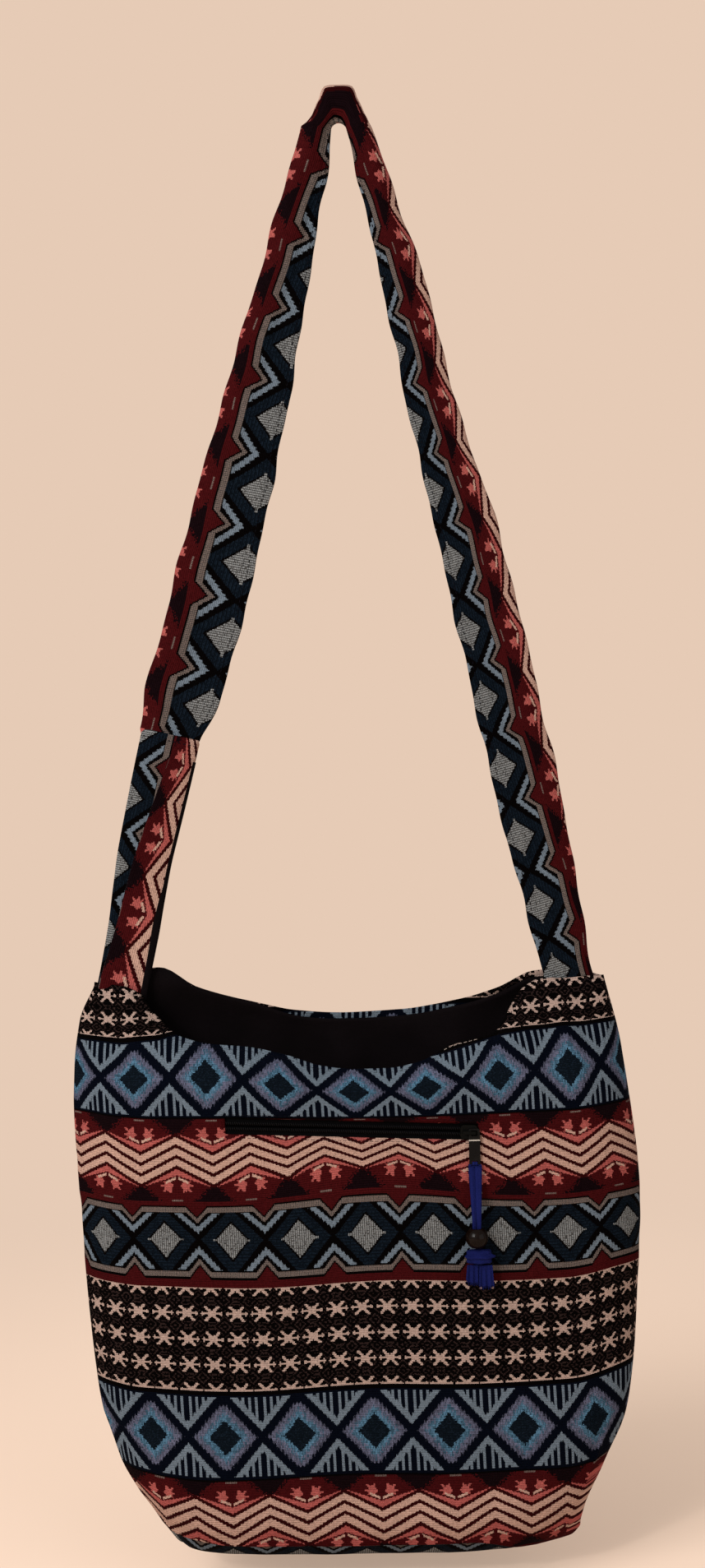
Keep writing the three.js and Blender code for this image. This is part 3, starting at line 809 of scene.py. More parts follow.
@dataclass(frozen=True)
class Cotton:
    """Plain woven cotton in one colour, with a fine square weave."""

    name: str
    colour: Colour
    lighter: Colour
    thread: float = 0.55
    depth: float = 0.12
    roughness: float = 0.9
    by_place: bool = False
    dye_scale: float = 38.0
    fibre_scale: float = 900.0

    def make(self) -> bpy.types.Material:
        """The cotton's material: a square weave with soft uneven dye."""
        paint = Paint(self.name)
        along, across = paint.level() if self.by_place else paint.cloth()
        turn = math.pi / self.thread
        weave = (along * turn).sine() * (across * turn).sine()
        dye = paint.noise(self.dye_scale, 3.0)
        fibre = paint.noise(self.fibre_scale, 1.0)
        share = dye * 0.6 + fibre * 0.3 + weave * 0.12
        colour = paint.blend(share, self.colour, self.lighter)
        height = abs(weave) * 0.7 + fibre * 0.3
        return paint.finish(
            Base_Color=colour,
            Roughness=self.roughness - fibre * 0.1,
            Normal=paint.bump(height, self.depth),
            Specular_IOR_Level=0.02,
        )


@dataclass(frozen=True)
class Enamel:
    """Dark enamel on metal, rubbed a little in random patches, with a painted highlight: a pale band at one
    height that stands in for light on the tab's top edge.
    """

    name: str
    colour: Colour = linear("030302")
    pale_span: Colour = linear("100e0c")
    painted_gleam: Colour = linear("9c958c")
    painted_gleam_level: float = 0.0
    painted_gleam_half: float = 0.6
    grain_scale: float = 420.0
    patch_scale: float = 150.0
    rub_from: float = 0.52

    def make(self) -> bpy.types.Material:
        """The enamel's material: speckled wear over a dark coat, and a pale painted highlight band at one
        height.
        """
        paint = Paint(self.name)
        grain = paint.noise(self.grain_scale, 4.0)
        patch = paint.noise(self.patch_scale)
        rub = (patch - self.rub_from).most(0.0) * grain * 2.2
        colour = paint.blend(rub, self.colour, self.pale_span)
        # Painted highlight: a pale grey band round one height, the gleam of light on the tab's top edge.
        _, up = paint.level()
        near = abs(up - self.painted_gleam_level) + grain * 0.4 < self.painted_gleam_half
        colour = paint.blend(near, colour, self.painted_gleam)
        return paint.finish(
            Base_Color=colour,
            Roughness=0.45 + grain * 0.18,
            Normal=paint.bump(grain, 0.04),
            Specular_IOR_Level=0.06,
        )


@dataclass(frozen=True)
class CoilPlastic:
    """Black plastic of the zip's coils."""

    name: str = "coil_plastic"
    colour: Colour = linear("040304")
    dust: Colour = linear("100e0f")
    dust_scale: float = 260.0

    def make(self) -> bpy.types.Material:
        """The plastic's material: dark, with a little dust."""
        paint = Paint(self.name)
        dust = paint.noise(self.dust_scale, 3.0)
        colour = paint.blend(dust * 0.5, self.colour, self.dust)
        return paint.finish(Base_Color=colour, Roughness=0.45 + dust * 0.2, Specular_IOR_Level=0.07)


@dataclass(frozen=True)
class BeadWood:
    """Dark polished wood with fine grain."""

    name: str = "bead_wood"
    dark: Colour = linear("050201")
    light: Colour = linear("130804")
    grain_scale: float = 900.0
    cloud_scale: float = 160.0
    stretch: Place = (1.0, 1.0, 0.18)

    def make(self) -> bpy.types.Material:
        """The wood's material: stretched grain under a clear coat."""
        paint = Paint(self.name)
        long = paint.node("ShaderNodeMapping", None, {"Vector": paint.place(), "Scale": self.stretch})
        grain = paint.noise(self.grain_scale, 4.0, long)
        cloud = paint.noise(self.cloud_scale)
        colour = paint.blend((grain * 0.9 + cloud * 0.5 - 0.25).most(0.0), self.dark, self.light)
        return paint.finish(
            Base_Color=colour,
            Roughness=0.4 + grain * 0.12,
            Coat_Weight=0.14,
            Coat_Roughness=0.05,
            Specular_IOR_Level=0.03,
            Normal=paint.bump(grain, 0.02),
        )


class Finishes:
    """Every finish, made once."""

    def __init__(self) -> None:
        """Makes the materials."""
        self.banded = BandedCloth().make()
        self.lining = Cotton("lining_cotton", linear("040303"), linear("110c0e"), 0.5).make()
        self.tape = Cotton("zip_tape_weave", linear("030303"), linear("0a090a"), 0.7, by_place=True).make()
        self.blue = Cotton("tassel_cotton", linear("070a2b"), linear("1a2058"), 0.5, 0.15).make()
        self.thread = Cotton("stitch_thread", linear("060508"), linear("15131a"), 0.4, by_place=True).make()
        pale = linear("8c7c72"), linear("b8a99d")
        self.pale_thread = Cotton("pale_thread", *pale, 0.4, by_place=True).make()
        self.coil = CoilPlastic().make()
        self.slider = Enamel("slider_enamel").make()
        # The tab's painted highlight band sits at this height.
        self.tab = Enamel("tab_enamel", linear("0c0a09"), linear("1e1b18"), painted_gleam_level=-644.9).make()
        self.bead = BeadWood().make()


@dataclass
class BagForm:
    """Form of the bag's body, in millimetres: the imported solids' own, but rim and base as the cloth hangs."""

    drop: float = 549.0
    height: float = 363.0
    width: float = 357.0
    front_bulge: float = 38.0
    back_bulge: float = 26.0
    base_radius: float = 34.0
    corner_rise: float = 9.0
    base_lean: float = 3.5
    cloth: float = 1.4
    lining: float = 0.7
    gap: float = 0.3
    rim_lean: float = 12.0
    rim_ripple: float = 2.5
    rim_waves: int = 3
    rim_fade: float = 12.0
    ear_depth: float = 7.0
    ear_power: float = 8.0
    body_power: float = 4.6
    ear_power_end: float = 0.13
    zip_length: float = 158.0
    zip_slot: float = 10.0
    zip_tilt: float = math.radians(2.4)
    zip_middle: float = -3.8
    zip_drop: float = 88.0
    pouch_back: float = -29.7
    left_outline: Points = (
        (0, 0.936), (0.06, 0.99), (0.15, 1.012), (0.4, 0.99), (0.7, 0.938), (0.84, 0.855), (0.95, 0.705),
        (1, 0.63),
    )
    right_outline: Points = (
        (0, 0.893), (0.12, 0.95), (0.38, 1.004), (0.6, 0.985), (0.73, 0.955), (0.85, 0.86), (0.93, 0.785),
        (1, 0.75),
    )
    front_rim: Points = (
        (-168, -546.5), (-150, -549), (-136, -554), (-120, -568), (-105, -580), (-86, -585), (-65, -587),
        (-42, -592), (-20, -599.5), (0, -602), (18, -602), (37, -598.5), (57, -589), (70, -585.5),
        (82, -582.5), (89, -576), (97, -565), (106, -555), (118, -549.5), (160, -548),
    )
    back_rim: Points = (
        (-168, -549), (-150, -541), (-127, -538.5), (-104, -551), (-66, -562), (-36, -569), (-8, -571),
        (28, -570), (66, -563.5), (91, -556), (116, -545), (136, -544), (160, -549),
    )
    base_sag: Points = (
        (-1, -3.5), (-0.95, 0.6), (-0.85, 1.6), (-0.6, 2.0), (-0.3, 0.3), (0, 0.6), (0.25, 1.8),
        (0.45, 3.6), (0.6, 5.8), (0.68, 6.4), (0.8, 4.6), (0.96, 3.4), (1, -1.5),
    )
    front_profile: Points = ((0, 0), (0.07, 0.46), (0.13, 0.86), (0.18, 1), (0.78, 1), (1, 0.94))
    back_profile: Points = ((0, 0), (0.066, 0.68), (0.15, 0.94), (0.2, 1), (0.78, 1), (1, 0.94))

    def half_width(self, across: Array, down: Array) -> Array:
        """Half width of the body on the side of a point, by its share of the height."""
        left, right = monotone(self.left_outline, down), monotone(self.right_outline, down)
        return np.where(across < 0, left, right) * self.width / 2

    def rim(self, side: Side, across: Array) -> Array:
        """Height of the mouth's rim at places across: a smooth line through the rim's own points."""
        x = across * self.half_width(across, np.zeros_like(across))
        return monotone(self.front_rim if side is Side.FRONT else self.back_rim, x)

    def point(self, side: Side, u: Array, z: Array, turn: Array, inset: float, depth: Array) -> Array:
        """Points of one layer of the body.

        Level sections are rounded rectangles: depth falls as the root of 1 less a power of the place across.

        Args:
            side: Front or back.
            u: Place across, from -1 to 1, eased by a sine towards the side seams.
            z: Height.
            turn: Angle round the base's curve, 0 above it.
            inset: Distance in from the side seams.
            depth: Distance in from the outer face.

        Returns:
            Points, with a last axis of 3.
        """
        across = np.sin(u * np.pi / 2)
        down = np.clip((-self.drop - z) / self.height, 0, 1)
        shape = self.front_profile if side is Side.FRONT else self.back_profile
        full = self.front_bulge if side is Side.FRONT else self.back_bulge
        bulge = self.ear_depth + (full - self.ear_depth) * monotone(shape, down)
        ease = smoothstep(down, 0, self.ear_power_end)
        power = self.ear_power + (self.body_power - self.ear_power) * ease
        fullness = np.sqrt(np.maximum(0, 1 - np.abs(across) ** power))
        below = self.rim(side, across) - z
        fade = 1 - smoothstep(below, 0, self.rim_fade)
        slack = np.sin(self.rim_waves * np.pi * u) * (1 - across**2) * self.rim_ripple
        if side is Side.FRONT:
            slack = slack + self.rim_lean * (1 - across**2) ** 2
        out = (bulge - depth) * fullness * np.cos(turn) + self.gap / 2
        x = (self.half_width(across, down) - inset) * across
        return np.stack([x, side.value * out + slack * fade, z], -1)

    def slot_edges(self, x: Array) -> tuple[Array, Array]:
        """Heights of the zip slot's upper and lower edges, carried on past its ends."""
        middle = -self.drop - self.zip_drop - np.tan(self.zip_tilt) * (x - self.zip_middle)
        half = self.zip_slot / 2 / math.cos(self.zip_tilt)
        return middle + half, middle - half


@dataclass
class Body:
    """Outer cloth, lining and pocket pouch of the bag."""

    form: BagForm
    finishes: Finishes
    left_seam: float = -0.93
    right_seam: float = 0.745
    seam_step: float = 0.003
    edge_columns: int = 13
    side_columns: int = 46
    slot_columns: int = 96
    rim_rows: int = 30
    slot_rows: int = 6
    main_rows: int = 104
    fold_rows: int = 8
    base_rows: int = 15
    base_seam: float = math.radians(33)
    seam_turn: float = math.radians(46)
    seam_ends: Pair = (65.0, 130.0)
    seam_cloth: float = 0.82
    lining_drop: float = 4.0
    row_ease: float = 1.15
    seam_hold: float = 0.08
    hem_roll: float = 0.9
    rim_hem: float = 1.6
    slot_hem: float = 1.3
    ridge: float = 0.35
    ridge_at: float = 4.0
    ridge_half: float = 2.4
    pouch_sides: Pair = (-87.3, 79.7)
    pouch_middle: float = -31.5
    pouch_radius: float = 1.2
    pouch_ends: Pair = (-771.3, -626.7)
    pouch_mouth: Pair = (-646.0, -630.0)
    pouch_half: float = 0.25
    side_cloth: Points = ((500, 480), (568.5, 554.7), (579, 570.6), (628, 622.8), (683, 677.9), (704, 703.0))
    middle_cloth: Points = (
        (500, 402.2), (601.4, 574.6), (629.7, 622.8), (641.6, 640.5), (651, 652.6), (660.9, 665.5),
        (678.1, 677.9), (704, 704),
    )
    faces: dict[Side, Array] = field(default_factory=dict)

    def columns(self) -> Array:
        """Places across of the grid's columns, two at each side seam and one at each end of the zip slot."""
        form = self.form
        half = form.zip_length / 2
        ends = np.array([form.zip_middle - half, form.zip_middle + half])
        wide = form.half_width(ends, np.full(2, form.zip_drop / form.height))
        left, right = np.arcsin(ends / wide) * 2 / np.pi
        return np.concatenate(
            [
                np.linspace(-1, self.left_seam, self.edge_columns),
                np.linspace(self.left_seam + self.seam_step, left, self.side_columns, endpoint=False),
                np.linspace(left, right, self.slot_columns, endpoint=False),
                np.linspace(right, self.right_seam, self.side_columns),
                np.linspace(self.right_seam + self.seam_step, 1, self.edge_columns),
            ]
        )

    def levels(self, side: Side, u: Array, inset: float, lower: float = 0.0) -> tuple[Array, Array]:
        """Heights and base angles of a grid whose rows follow the rim, the zip slot and the base.

        Args:
            side: Front or back.
            u: Places across.
            inset: Distance in from the seam under the bag.
            lower: Distance of the first row below the rim.

        Returns:
            Height and turn of each row and column.
        """
        form = self.form
        across = np.sin(u * np.pi / 2)
        x = form.half_width(across, np.full_like(u, form.zip_drop / form.height)) * across
        fall = lower * (smoothstep(x, -75, -25) if side is Side.BACK else 0.4)
        top = form.rim(side, across) - fall
        upper, lower_edge = form.slot_edges(x)
        rise = form.corner_rise * across**2 + form.base_lean * across
        base = -form.drop - form.height + rise - monotone(form.base_sag, across) + inset
        curve = form.base_radius - inset
        first, second, third = (
            np.linspace(0, 1, count, endpoint=False)[:, None]
            for count in (self.rim_rows, self.slot_rows, self.main_rows)
        )
        reach = form.half_width(across, np.ones_like(u)) * across
        seam = self.base_seam + self.seam_turn * smoothstep(reach, *self.seam_ends)
        fold = np.linspace(0, 1, self.fold_rows + 1)[:, None] * seam
        below = seam + self.seam_step
        under = below + (np.pi / 2 - below) * np.linspace(0, 1, self.base_rows)[:, None]
        turn = np.concatenate([fold, under])
        z = np.concatenate(
            [
                top + (upper - top) * first**self.row_ease,
                upper + (lower_edge - upper) * second,
                lower_edge + (base + curve - lower_edge) * third,
                base + curve * (1 - np.sin(turn)),
            ]
        )
        flat = np.zeros((len(z) - len(turn), len(u)))
        return z, np.concatenate([flat, turn])

    def creases(self, grid: Array, side: Side) -> Array:
        """Height of soft folds along the outward normal, low where the tassel swings, with sunk seams.

        Args:
            grid: Points of the outer face.
            side: Front or back.

        Returns:
            Heights in millimetres.
        """
        x, z = grid[..., 0], grid[..., 2]
        wave, rise, short_wave, short_rise = 130, 0.8, 46, 0.25
        soft = waves(x, z * 0.6, 3 + side.value, wave, 6) * rise
        soft = soft + waves(x, z, 9 + side.value, short_wave, 6) * short_rise
        half_width, ear, reach, pulled, sagged = 178, 140, 30, 1.4, 1.6
        edge = np.clip(np.abs(x) / half_width, 0, 1)
        pull = bell(np.abs(x), ear, reach) * smoothstep(z, -700, -560) * np.sin(x * 0.21 + z * 0.05)
        low = smoothstep(-z, 800, 890) * np.sin(x * 0.085 + 0.7) * edge
        height = soft * (0.35 + 0.9 * edge**2) + pulled * pull + sagged * low
        if side is Side.FRONT:
            middle, level, reach, share, sink = 50, -670, 95, 0.92, 0.25
            calm = bell(x, middle, reach) * bell(z, level, reach)
            height = height * (1 - share * calm) - sink * calm
            depth, half, side_half = 1.2, 1.8, 1.6
            under = bell(z, z[-self.base_rows - 1], half)
            fold = bell(x, x[:, [-self.edge_columns - 1]], half) * smoothstep(-z, 800, 850)
            side_seam = bell(x, x[:, [self.edge_columns - 1]], side_half)
            height = height - depth * np.maximum(np.maximum(under, side_seam), fold)
        lowest, highest = -1.6, 2.2
        return np.clip(height, lowest, highest)

    def cloth_map(self, grid: Array, side: Side) -> Array:
        """Cloth coordinates: arc length along the bands from the middle, and place across the bands.

        At the front the bands are drawn together in the middle, between the rim and the zip's lower hem.
        Towards the side seams they are drawn up, and past the seam at the base another piece shows.

        Args:
            grid: Points of the outer face.
            side: Front or back.

        Returns:
            Coordinates in millimetres.
        """
        x, z = grid[..., 0], grid[..., 2]
        step = np.diff(grid, axis=1)
        run = np.cumsum(np.hypot(step[..., 0], step[..., 1]), 1)
        along = np.concatenate([np.zeros((len(grid), 1)), run], 1)
        along = along - np.array([np.interp(0.0, gx, ga) for gx, ga in zip(x, along)])[:, None]
        drop = np.diff(grid, axis=0)
        fall = np.cumsum(np.hypot(drop[..., 1], drop[..., 2]), 0)
        fall = np.concatenate([np.zeros((1, grid.shape[1])), fall])
        start = -self.base_rows - self.fold_rows - 1
        under = np.maximum(fall - fall[start], 0)
        bottom = -z[start]
        if side is Side.BACK:
            flat = np.where(under > 0, bottom + under, -z)
            shift, lower, sway = 21.0, 3.0, 2.0
            return np.stack([shift - along, flat + lower + sway * np.sin(x * 0.018)], -1)
        beyond = np.maximum(along - along[:, [-self.edge_columns - 1]], 0)
        held = 0.93
        along = along - held * beyond * smoothstep(-z, 836, 848)
        seam = under[-self.base_rows - 1]
        flat = np.where(under > 0, bottom + self.seam_cloth * under, -z)
        sides, drawn = straight(self.side_cloth, flat), straight(self.middle_cloth, flat)
        middle, reach = 8, 105
        share = np.cos(np.clip((x - middle) / reach, -1, 1) * np.pi / 2) ** 2
        across = np.where(flat > self.middle_cloth[-1][0], flat, sides + (drawn - sides) * share)
        sway = 1.3 * np.sin(x * 0.021 + 0.6) + 0.8 * np.sin(x * 0.047 - z * 0.01)
        across = across + sway * smoothstep(flat, 640, 720)
        left, right = 0.01, 0.03
        along = along * (1 + np.where(x > 0, right, left) * (1 - smoothstep(flat, 640, 690)))
        lift, low_lift = 2.5, 5.5
        drawn_up = lift + low_lift * smoothstep(flat, 680, 760)
        across = across + drawn_up * smoothstep(x, 128, 176) + lift * smoothstep(-x, 135, 178)
        left, right = -4.5, 2.5
        ears = right * smoothstep(x, 100, 140) + left * smoothstep(-x, 110, 150)
        across = across + ears * (1 - smoothstep(flat, 585, 620))
        base, shift, start, share = slice(-self.base_rows, None), 13.0, 948.0, 0.9
        along[base] += shift
        across[base] = start - share * (under - seam)[base]
        return np.stack([along, across], -1)

    def panel(self, side: Side) -> bpy.types.Object:
        """Outer cloth of one side, with the zip slot at the front."""
        form = self.form
        u = self.columns()
        z, turn = self.levels(side, u, 0.0)
        across = np.broadcast_to(u, z.shape)
        outer = form.point(side, across, z, turn, 0.0, np.zeros_like(z))
        cloth = self.cloth_map(outer, side)
        deep = np.full_like(z, form.cloth)
        inner = form.point(side, across, *self.levels(side, u, form.cloth), form.cloth, deep)
        out = normals(outer) * -side.value
        fold = self.creases(outer, side)
        hold = smoothstep(1 - np.abs(across), 0, self.seam_hold)
        hem = self.hem(outer, side)
        outer = outer + out * (fold * hold)[..., None] - side.value * BACKWARDS * hem[..., None]
        lowest, highest = -0.2, 1.2
        inner = inner + out * (np.clip(fold, lowest, highest) * hold)[..., None]
        self.faces[side] = outer
        keep = None
        if side is Side.FRONT:
            keep = np.ones((len(z) - 1, len(u) - 1), bool)
            rows = slice(self.rim_rows, self.rim_rows + self.slot_rows)
            first = self.edge_columns + self.side_columns
            keep[rows, first : first + self.slot_columns] = False
        name, node = f"{side.name.lower()}_cloth", f"{side.name.lower()}_panel"
        made = piece(name, shell(outer, inner, cloth, keep), self.finishes.banded)
        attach(made, "bag")
        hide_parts(node)
        return made

    def line_at(self, side: Side, row: Array) -> tuple[Array, Array]:
        """Points and outward directions of the outer cloth along a row, which may lie between grid rows."""
        grid = self.faces[side]
        out = normals(grid) * -side.value
        first = np.floor(row).astype(int)
        share = (row - first)[:, None]
        column = np.arange(grid.shape[1])
        return grid[first, column] * (1 - share) + grid[first + 1, column] * share, out[first, column]

    def rim_row(self, side: Side, depth: float, from_slot: bool = False) -> Array:
        """Row at a depth below the rim, or at a height above the zip slot's upper edge."""
        form = self.form
        across = np.sin(self.columns() * np.pi / 2)
        x = form.half_width(across, np.full_like(across, form.zip_drop / form.height)) * across
        gap = form.rim(side, across) - form.slot_edges(x)[0]
        share = (gap - depth if from_slot else depth) / gap
        return self.rim_rows * share ** (1 / self.row_ease)

    def hem(self, outer: Array, side: Side) -> Array:
        """How far the outer cloth rolls inwards along the rim and along the zip slot's edges."""
        x, z = outer[..., 0], outer[..., 2]
        roll = self.hem_roll * bell(z, z[:1], self.rim_hem)
        if side is Side.BACK:
            return roll
        form = self.form
        upper, lower = form.slot_edges(x)
        off = np.maximum(np.maximum(z - upper, lower - z), np.abs(x - form.zip_middle) - form.zip_length / 2)
        roll = roll + self.hem_roll * bell(np.maximum(off, 0), 0, self.slot_hem)
        return roll - self.ridge * bell(off, self.ridge_at, self.ridge_half)

    def lining(self, side: Side) -> bpy.types.Object:
        """Lining of one side: it meets the outer cloth at the rim and hangs loose below."""
        form = self.form
        u = self.columns()[::2]
        near, far = (self.lining_face(side, u, standoff) for standoff in (0.0, form.lining))
        x, z = near[..., 0], near[..., 2]
        across = np.broadcast_to(u, z.shape)
        below = form.rim(side, np.sin(across * np.pi / 2)) - z
        inward = 1 - np.abs(across)
        loose = waves(x, z * 0.5, 20 + side.value, 90, 6) * 2.6 + waves(x * 0.4, z, 31, 38, 5) * 1.3
        hold = smoothstep(below, 2, 30) * smoothstep(inward, 0.02, 0.2)
        clear = 1.3 * smoothstep(below, 0.2, 3.0) * smoothstep(inward, 0.02, 0.1)
        shift = -side.value * BACKWARDS * (np.maximum(loose + 1.4, 0) * hold + clear)[..., None]
        name, node = f"{side.name.lower()}_lining_cloth", f"{side.name.lower()}_lining"
        cloth = np.stack([x, z], -1)
        made = piece(name, shell(near + shift, far + shift, cloth), self.finishes.lining)
        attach(made, "bag")
        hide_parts(node)
        return made

    def lining_face(self, side: Side, u: Array, standoff: float) -> Array:
        """One face of a lining; the front one stands off by the room for the pouch."""
        form = self.form
        inset = form.cloth + form.gap + standoff
        z, turn = self.levels(side, u, inset, self.lining_drop)
        z, turn = z[::2], turn[::2]
        across = np.broadcast_to(u, z.shape)
        below = form.rim(side, np.sin(across * np.pi / 2)) - z
        room = form.front_bulge + form.pouch_back - form.cloth - form.gap
        extra = room * smoothstep(below, 0, form.rim_fade) if side is Side.FRONT else 0.0
        return form.point(side, across, z, turn, inset, inset + extra * np.ones_like(z))

    def pouch(self) -> bpy.types.Object:
        """Pocket behind the zip: one cloth folded at its foot and its head, open behind the slot."""
        half = np.linspace(0, np.pi, 9)
        turn = self.pouch_radius * np.stack([np.cos(half), np.sin(half)], -1)
        low, high = self.pouch_ends
        top, lip = self.pouch_mouth
        middle, near = self.pouch_middle, self.pouch_middle - self.pouch_radius
        far = self.pouch_middle + self.pouch_radius
        front = np.stack([np.full(40, near), np.linspace(top, low + 0.3, 40)], -1)
        back = np.stack([np.full(44, far), np.linspace(low + 0.3, high - 0.3, 44)], -1)
        foot, head = (middle, low) - turn, (middle, high) + turn
        line = np.concatenate([front, foot, back, head, [[near, lip]]])
        x = np.linspace(*self.pouch_sides, 60)
        tangent = unit(np.gradient(line, axis=0))
        out = np.stack([-tangent[:, 1], tangent[:, 0]], -1) * self.pouch_half
        ripple = 0.12 * np.sin(x * 0.09) * np.sin(line[:, 1:] * 0.06)
        faces = []
        for way in (-1, 1):
            edge = line + way * out
            y = edge[:, :1] + ripple
            z = np.broadcast_to(edge[:, 1:], y.shape)
            faces.append(np.stack([np.broadcast_to(x, y.shape), y, z], -1))
        cloth = table(distances(line), x)
        made = piece("pouch_cotton", shell(faces[0], faces[1], cloth), self.finishes.lining)
        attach(made, "bag")
        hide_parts("pocket_pouch")
        return made


@dataclass
class Strap:
    """Cloth strap from its stub over the bearing to the right ear, and the stub itself."""

    form: BagForm
    finishes: Finishes
    bearing: float = 4.5
    gathered_width: float = 24.0
    gathered_thickness: float = 13.0
    left_width: float = 49.0
    right_width: float = 42.0
    thickness: float = 7.0
    spread: float = 290.0
    right_bow: float = 3.5
    left_inset: float = 19.6
    right_inset: float = 22.4
    ear_width: float = 32.0
    ear_thickness: float = 4.6
    tuck: float = 14.0
    taper: float = 130.0
    stub_length: float = 163.0
    stub_width: float = 38.0
    stub_thickness: float = 9.6
    sleeve_depth: float = 20.0
    sleeve_width: float = 33.0
    sleeve_thickness: float = 5.0
    sleeve_taper: float = 28.0
    mouth_width: float = 39.0
    left_widths: Points = (
        (0, 19.5), (16, 22.5), (60, 27.5), (120, 34.7), (183, 42), (246, 46.5), (275, 48.5), (600, 49),
    )
    right_widths: Points = (
        (0, 16), (37, 19.5), (78, 24.5), (130, 29), (180, 30.5), (222, 34.5), (262, 38.5), (320, 41),
        (600, 42),
    )
    settling: Pair = (180.0, 290.0)
    arch_widths: Points = ((-61, 15.2), (-33, 18.8), (-16, 25), (0, 24.4), (16, 25), (33, 18.8), (61, 15.2))
    left_sway: Points = (
        (0, 0), (25, -2.6), (90, -3.2), (160, -2.6), (250, -0.3), (330, 0.8), (375, 4.2), (410, 5.4),
        (475, 5.4), (505, 3.9), (530, 2.2), (600, 0.6),
    )
    left_inner: Points = ((0, 20), (60, 11), (130, 0), (200, -5.9))
    left_outer: Points = ((0, 38), (60, 37.5), (140, 36), (300, 36.5))
    right_inner: Points = ((0, 25), (60, 15), (130, 5), (210, -2), (290, -8), (400, -9), (480, -11))
    right_outer: Points = (
        (0, 41), (30, 45), (90, 48), (200, 50), (330, 49.5), (420, 46), (480, 38), (530, 31),
    )
    turn_inner: Pair = (20.0, 25.0)
    turn_outer: Pair = (40.0, 41.0)
    turn_cloth: Pair = (5.0, -0.6)
    cloth_share: float = 0.885
    cloth_growth: float = 5e-5
    left_crease: Points = ((0, 0.1), (60, 0.2), (140, 0.42), (220, 0.5), (600, 0.55))
    right_crease: Points = ((0, 0.0), (60, 0.12), (150, 0.28), (300, 0.36), (600, 0.42))
    # Widths of the dark strip on the stub's inner edge, which is partly painted shade.
    dark_edge_widths: Points = (
        (0, 1.2), (16, 1.4), (42, 1.5), (72, 1.6), (92, 2.0), (108, 3.4), (123, 4.4), (142, 4.0), (172, 3.4),
    )
    power: float = 2.6
    sides: int = 72
    steps: int = 150
    turn_steps: int = 40
    teal_middle: float = 702.7
    edge_side: int = 8
    lines: list[Array] = field(default_factory=list)

    def leg(self, which: Leg) -> tuple[float, float, Array, Array, Array]:
        """Straight line of one leg, tangent to the turn over the bearing.

        Args:
            which: Left or right.

        Returns:
            Lean, length, start, direction down the leg and direction outwards.
        """
        side = which.value
        inset = self.left_inset if which is Leg.LEFT else self.right_inset
        ear = self.form.half_width(np.array(float(side)), np.array(0.0))
        reach, fall = float(ear) - inset, self.form.drop - self.bearing
        radius = self.bearing + self.gathered_width / 2
        span = math.hypot(reach, fall)
        lean = math.atan2(reach, fall) - math.asin(radius / span)
        outward = np.array([side * math.cos(lean), 0.0, math.sin(lean)])
        along = np.array([side * math.sin(lean), 0.0, -math.cos(lean)])
        start = np.array([0.0, 0.0, -self.bearing]) + outward * radius
        return lean, math.sqrt(span**2 - radius**2), start, along, outward

    def centres(self, which: Leg, distance: Array) -> Array:
        """Middle of the strap at distances down a leg: the right one bowed by a sine, the left swaying."""
        _, length, start, along, outward = self.leg(which)
        bow = self.right_bow * np.sin(np.pi * np.minimum(distance / length, 1))
        if which is Leg.LEFT:
            bow = monotone(self.left_sway, distance)
        return start + distance[:, None] * along + bow[:, None] * outward

    def sizes(self, which: Leg, distance: Array) -> tuple[Array, Array]:
        """Width and thickness of the strap at distances down a leg."""
        left = which is Leg.LEFT
        length = self.leg(which)[1]
        end = length - self.stub_length if left else length
        spread = smoothstep(distance, 0, self.spread)
        narrow = smoothstep(distance, end - (self.sleeve_taper if left else self.taper), end)
        wide = monotone(self.left_widths if left else self.right_widths, distance)
        thick = self.gathered_thickness + (self.thickness - self.gathered_thickness) * spread
        end_wide = self.mouth_width if left else self.ear_width
        end_thick = self.sleeve_thickness if left else self.ear_thickness
        width = wide + (end_wide - wide) * narrow
        if left:
            width = width + (self.sleeve_width - self.mouth_width) * smoothstep(distance, end, end + 7)
        return width, thick + (end_thick - thick) * narrow

    def crown(self, place: Array) -> Array:
        """Height of a flattened oval at shares of its width, 1 in the middle."""
        return np.maximum(1 - np.abs(2 * place - 1) ** self.power, 0) ** (1 / self.power)

    def rings(
        self, centre: Array, outward: Array, run: Array, size: tuple[Array, Array, Array], roll: Array
    ) -> Array:
        """Rings of points round the strap, from the inner edge over the front to the outer edge and back.

        The front is the higher of a low flat crown and a round roll that ends in a crease; both edges wander,
        and the strap's unused width lies on its outer side, so that the inner edge keeps its line.

        Args:
            centre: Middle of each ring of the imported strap.
            outward: Direction to the outer edge of each ring.
            run: Place of each ring along the strap.
            size: Packed width, width and thickness of each ring.
            roll: Share of the width at which each ring's crease lies.

        Returns:
            Points, rings by sides.
        """
        packed, width, thickness = (part[:, None] for part in size)
        run = run[:, None]
        turn = np.linspace(0, 2, self.sides, endpoint=False)
        place = self.place(turn)
        crown = self.crown(place)
        start = roll[:, None]
        bump = np.sqrt(np.maximum(1 - ((place - (1 + start) / 2) / ((1 - start) / 2)) ** 2, 0))
        ripple = 1 + 0.1 * np.sin(9 * place + run / 17) * np.sin(run / 23)
        face = np.maximum(0.5 * crown, 1.08 * bump * ripple)
        deep = np.where(turn <= 1, -face, 0.9 * crown) * thickness / 2
        inner = 0.7 * np.sin(run / 6.3) * np.sin(run / 29) + 0.5 * np.sin(run / 11 + 1)
        outer = 0.8 * np.sin(run / 7.1 + 2) * np.sin(run / 37) + 0.5 * np.sin(run / 13)
        across = -packed / 2 + place * width + inner * (1 - place) + outer * place
        return around(centre, outward, np.broadcast_to(BACKWARDS, centre.shape), across, deep)

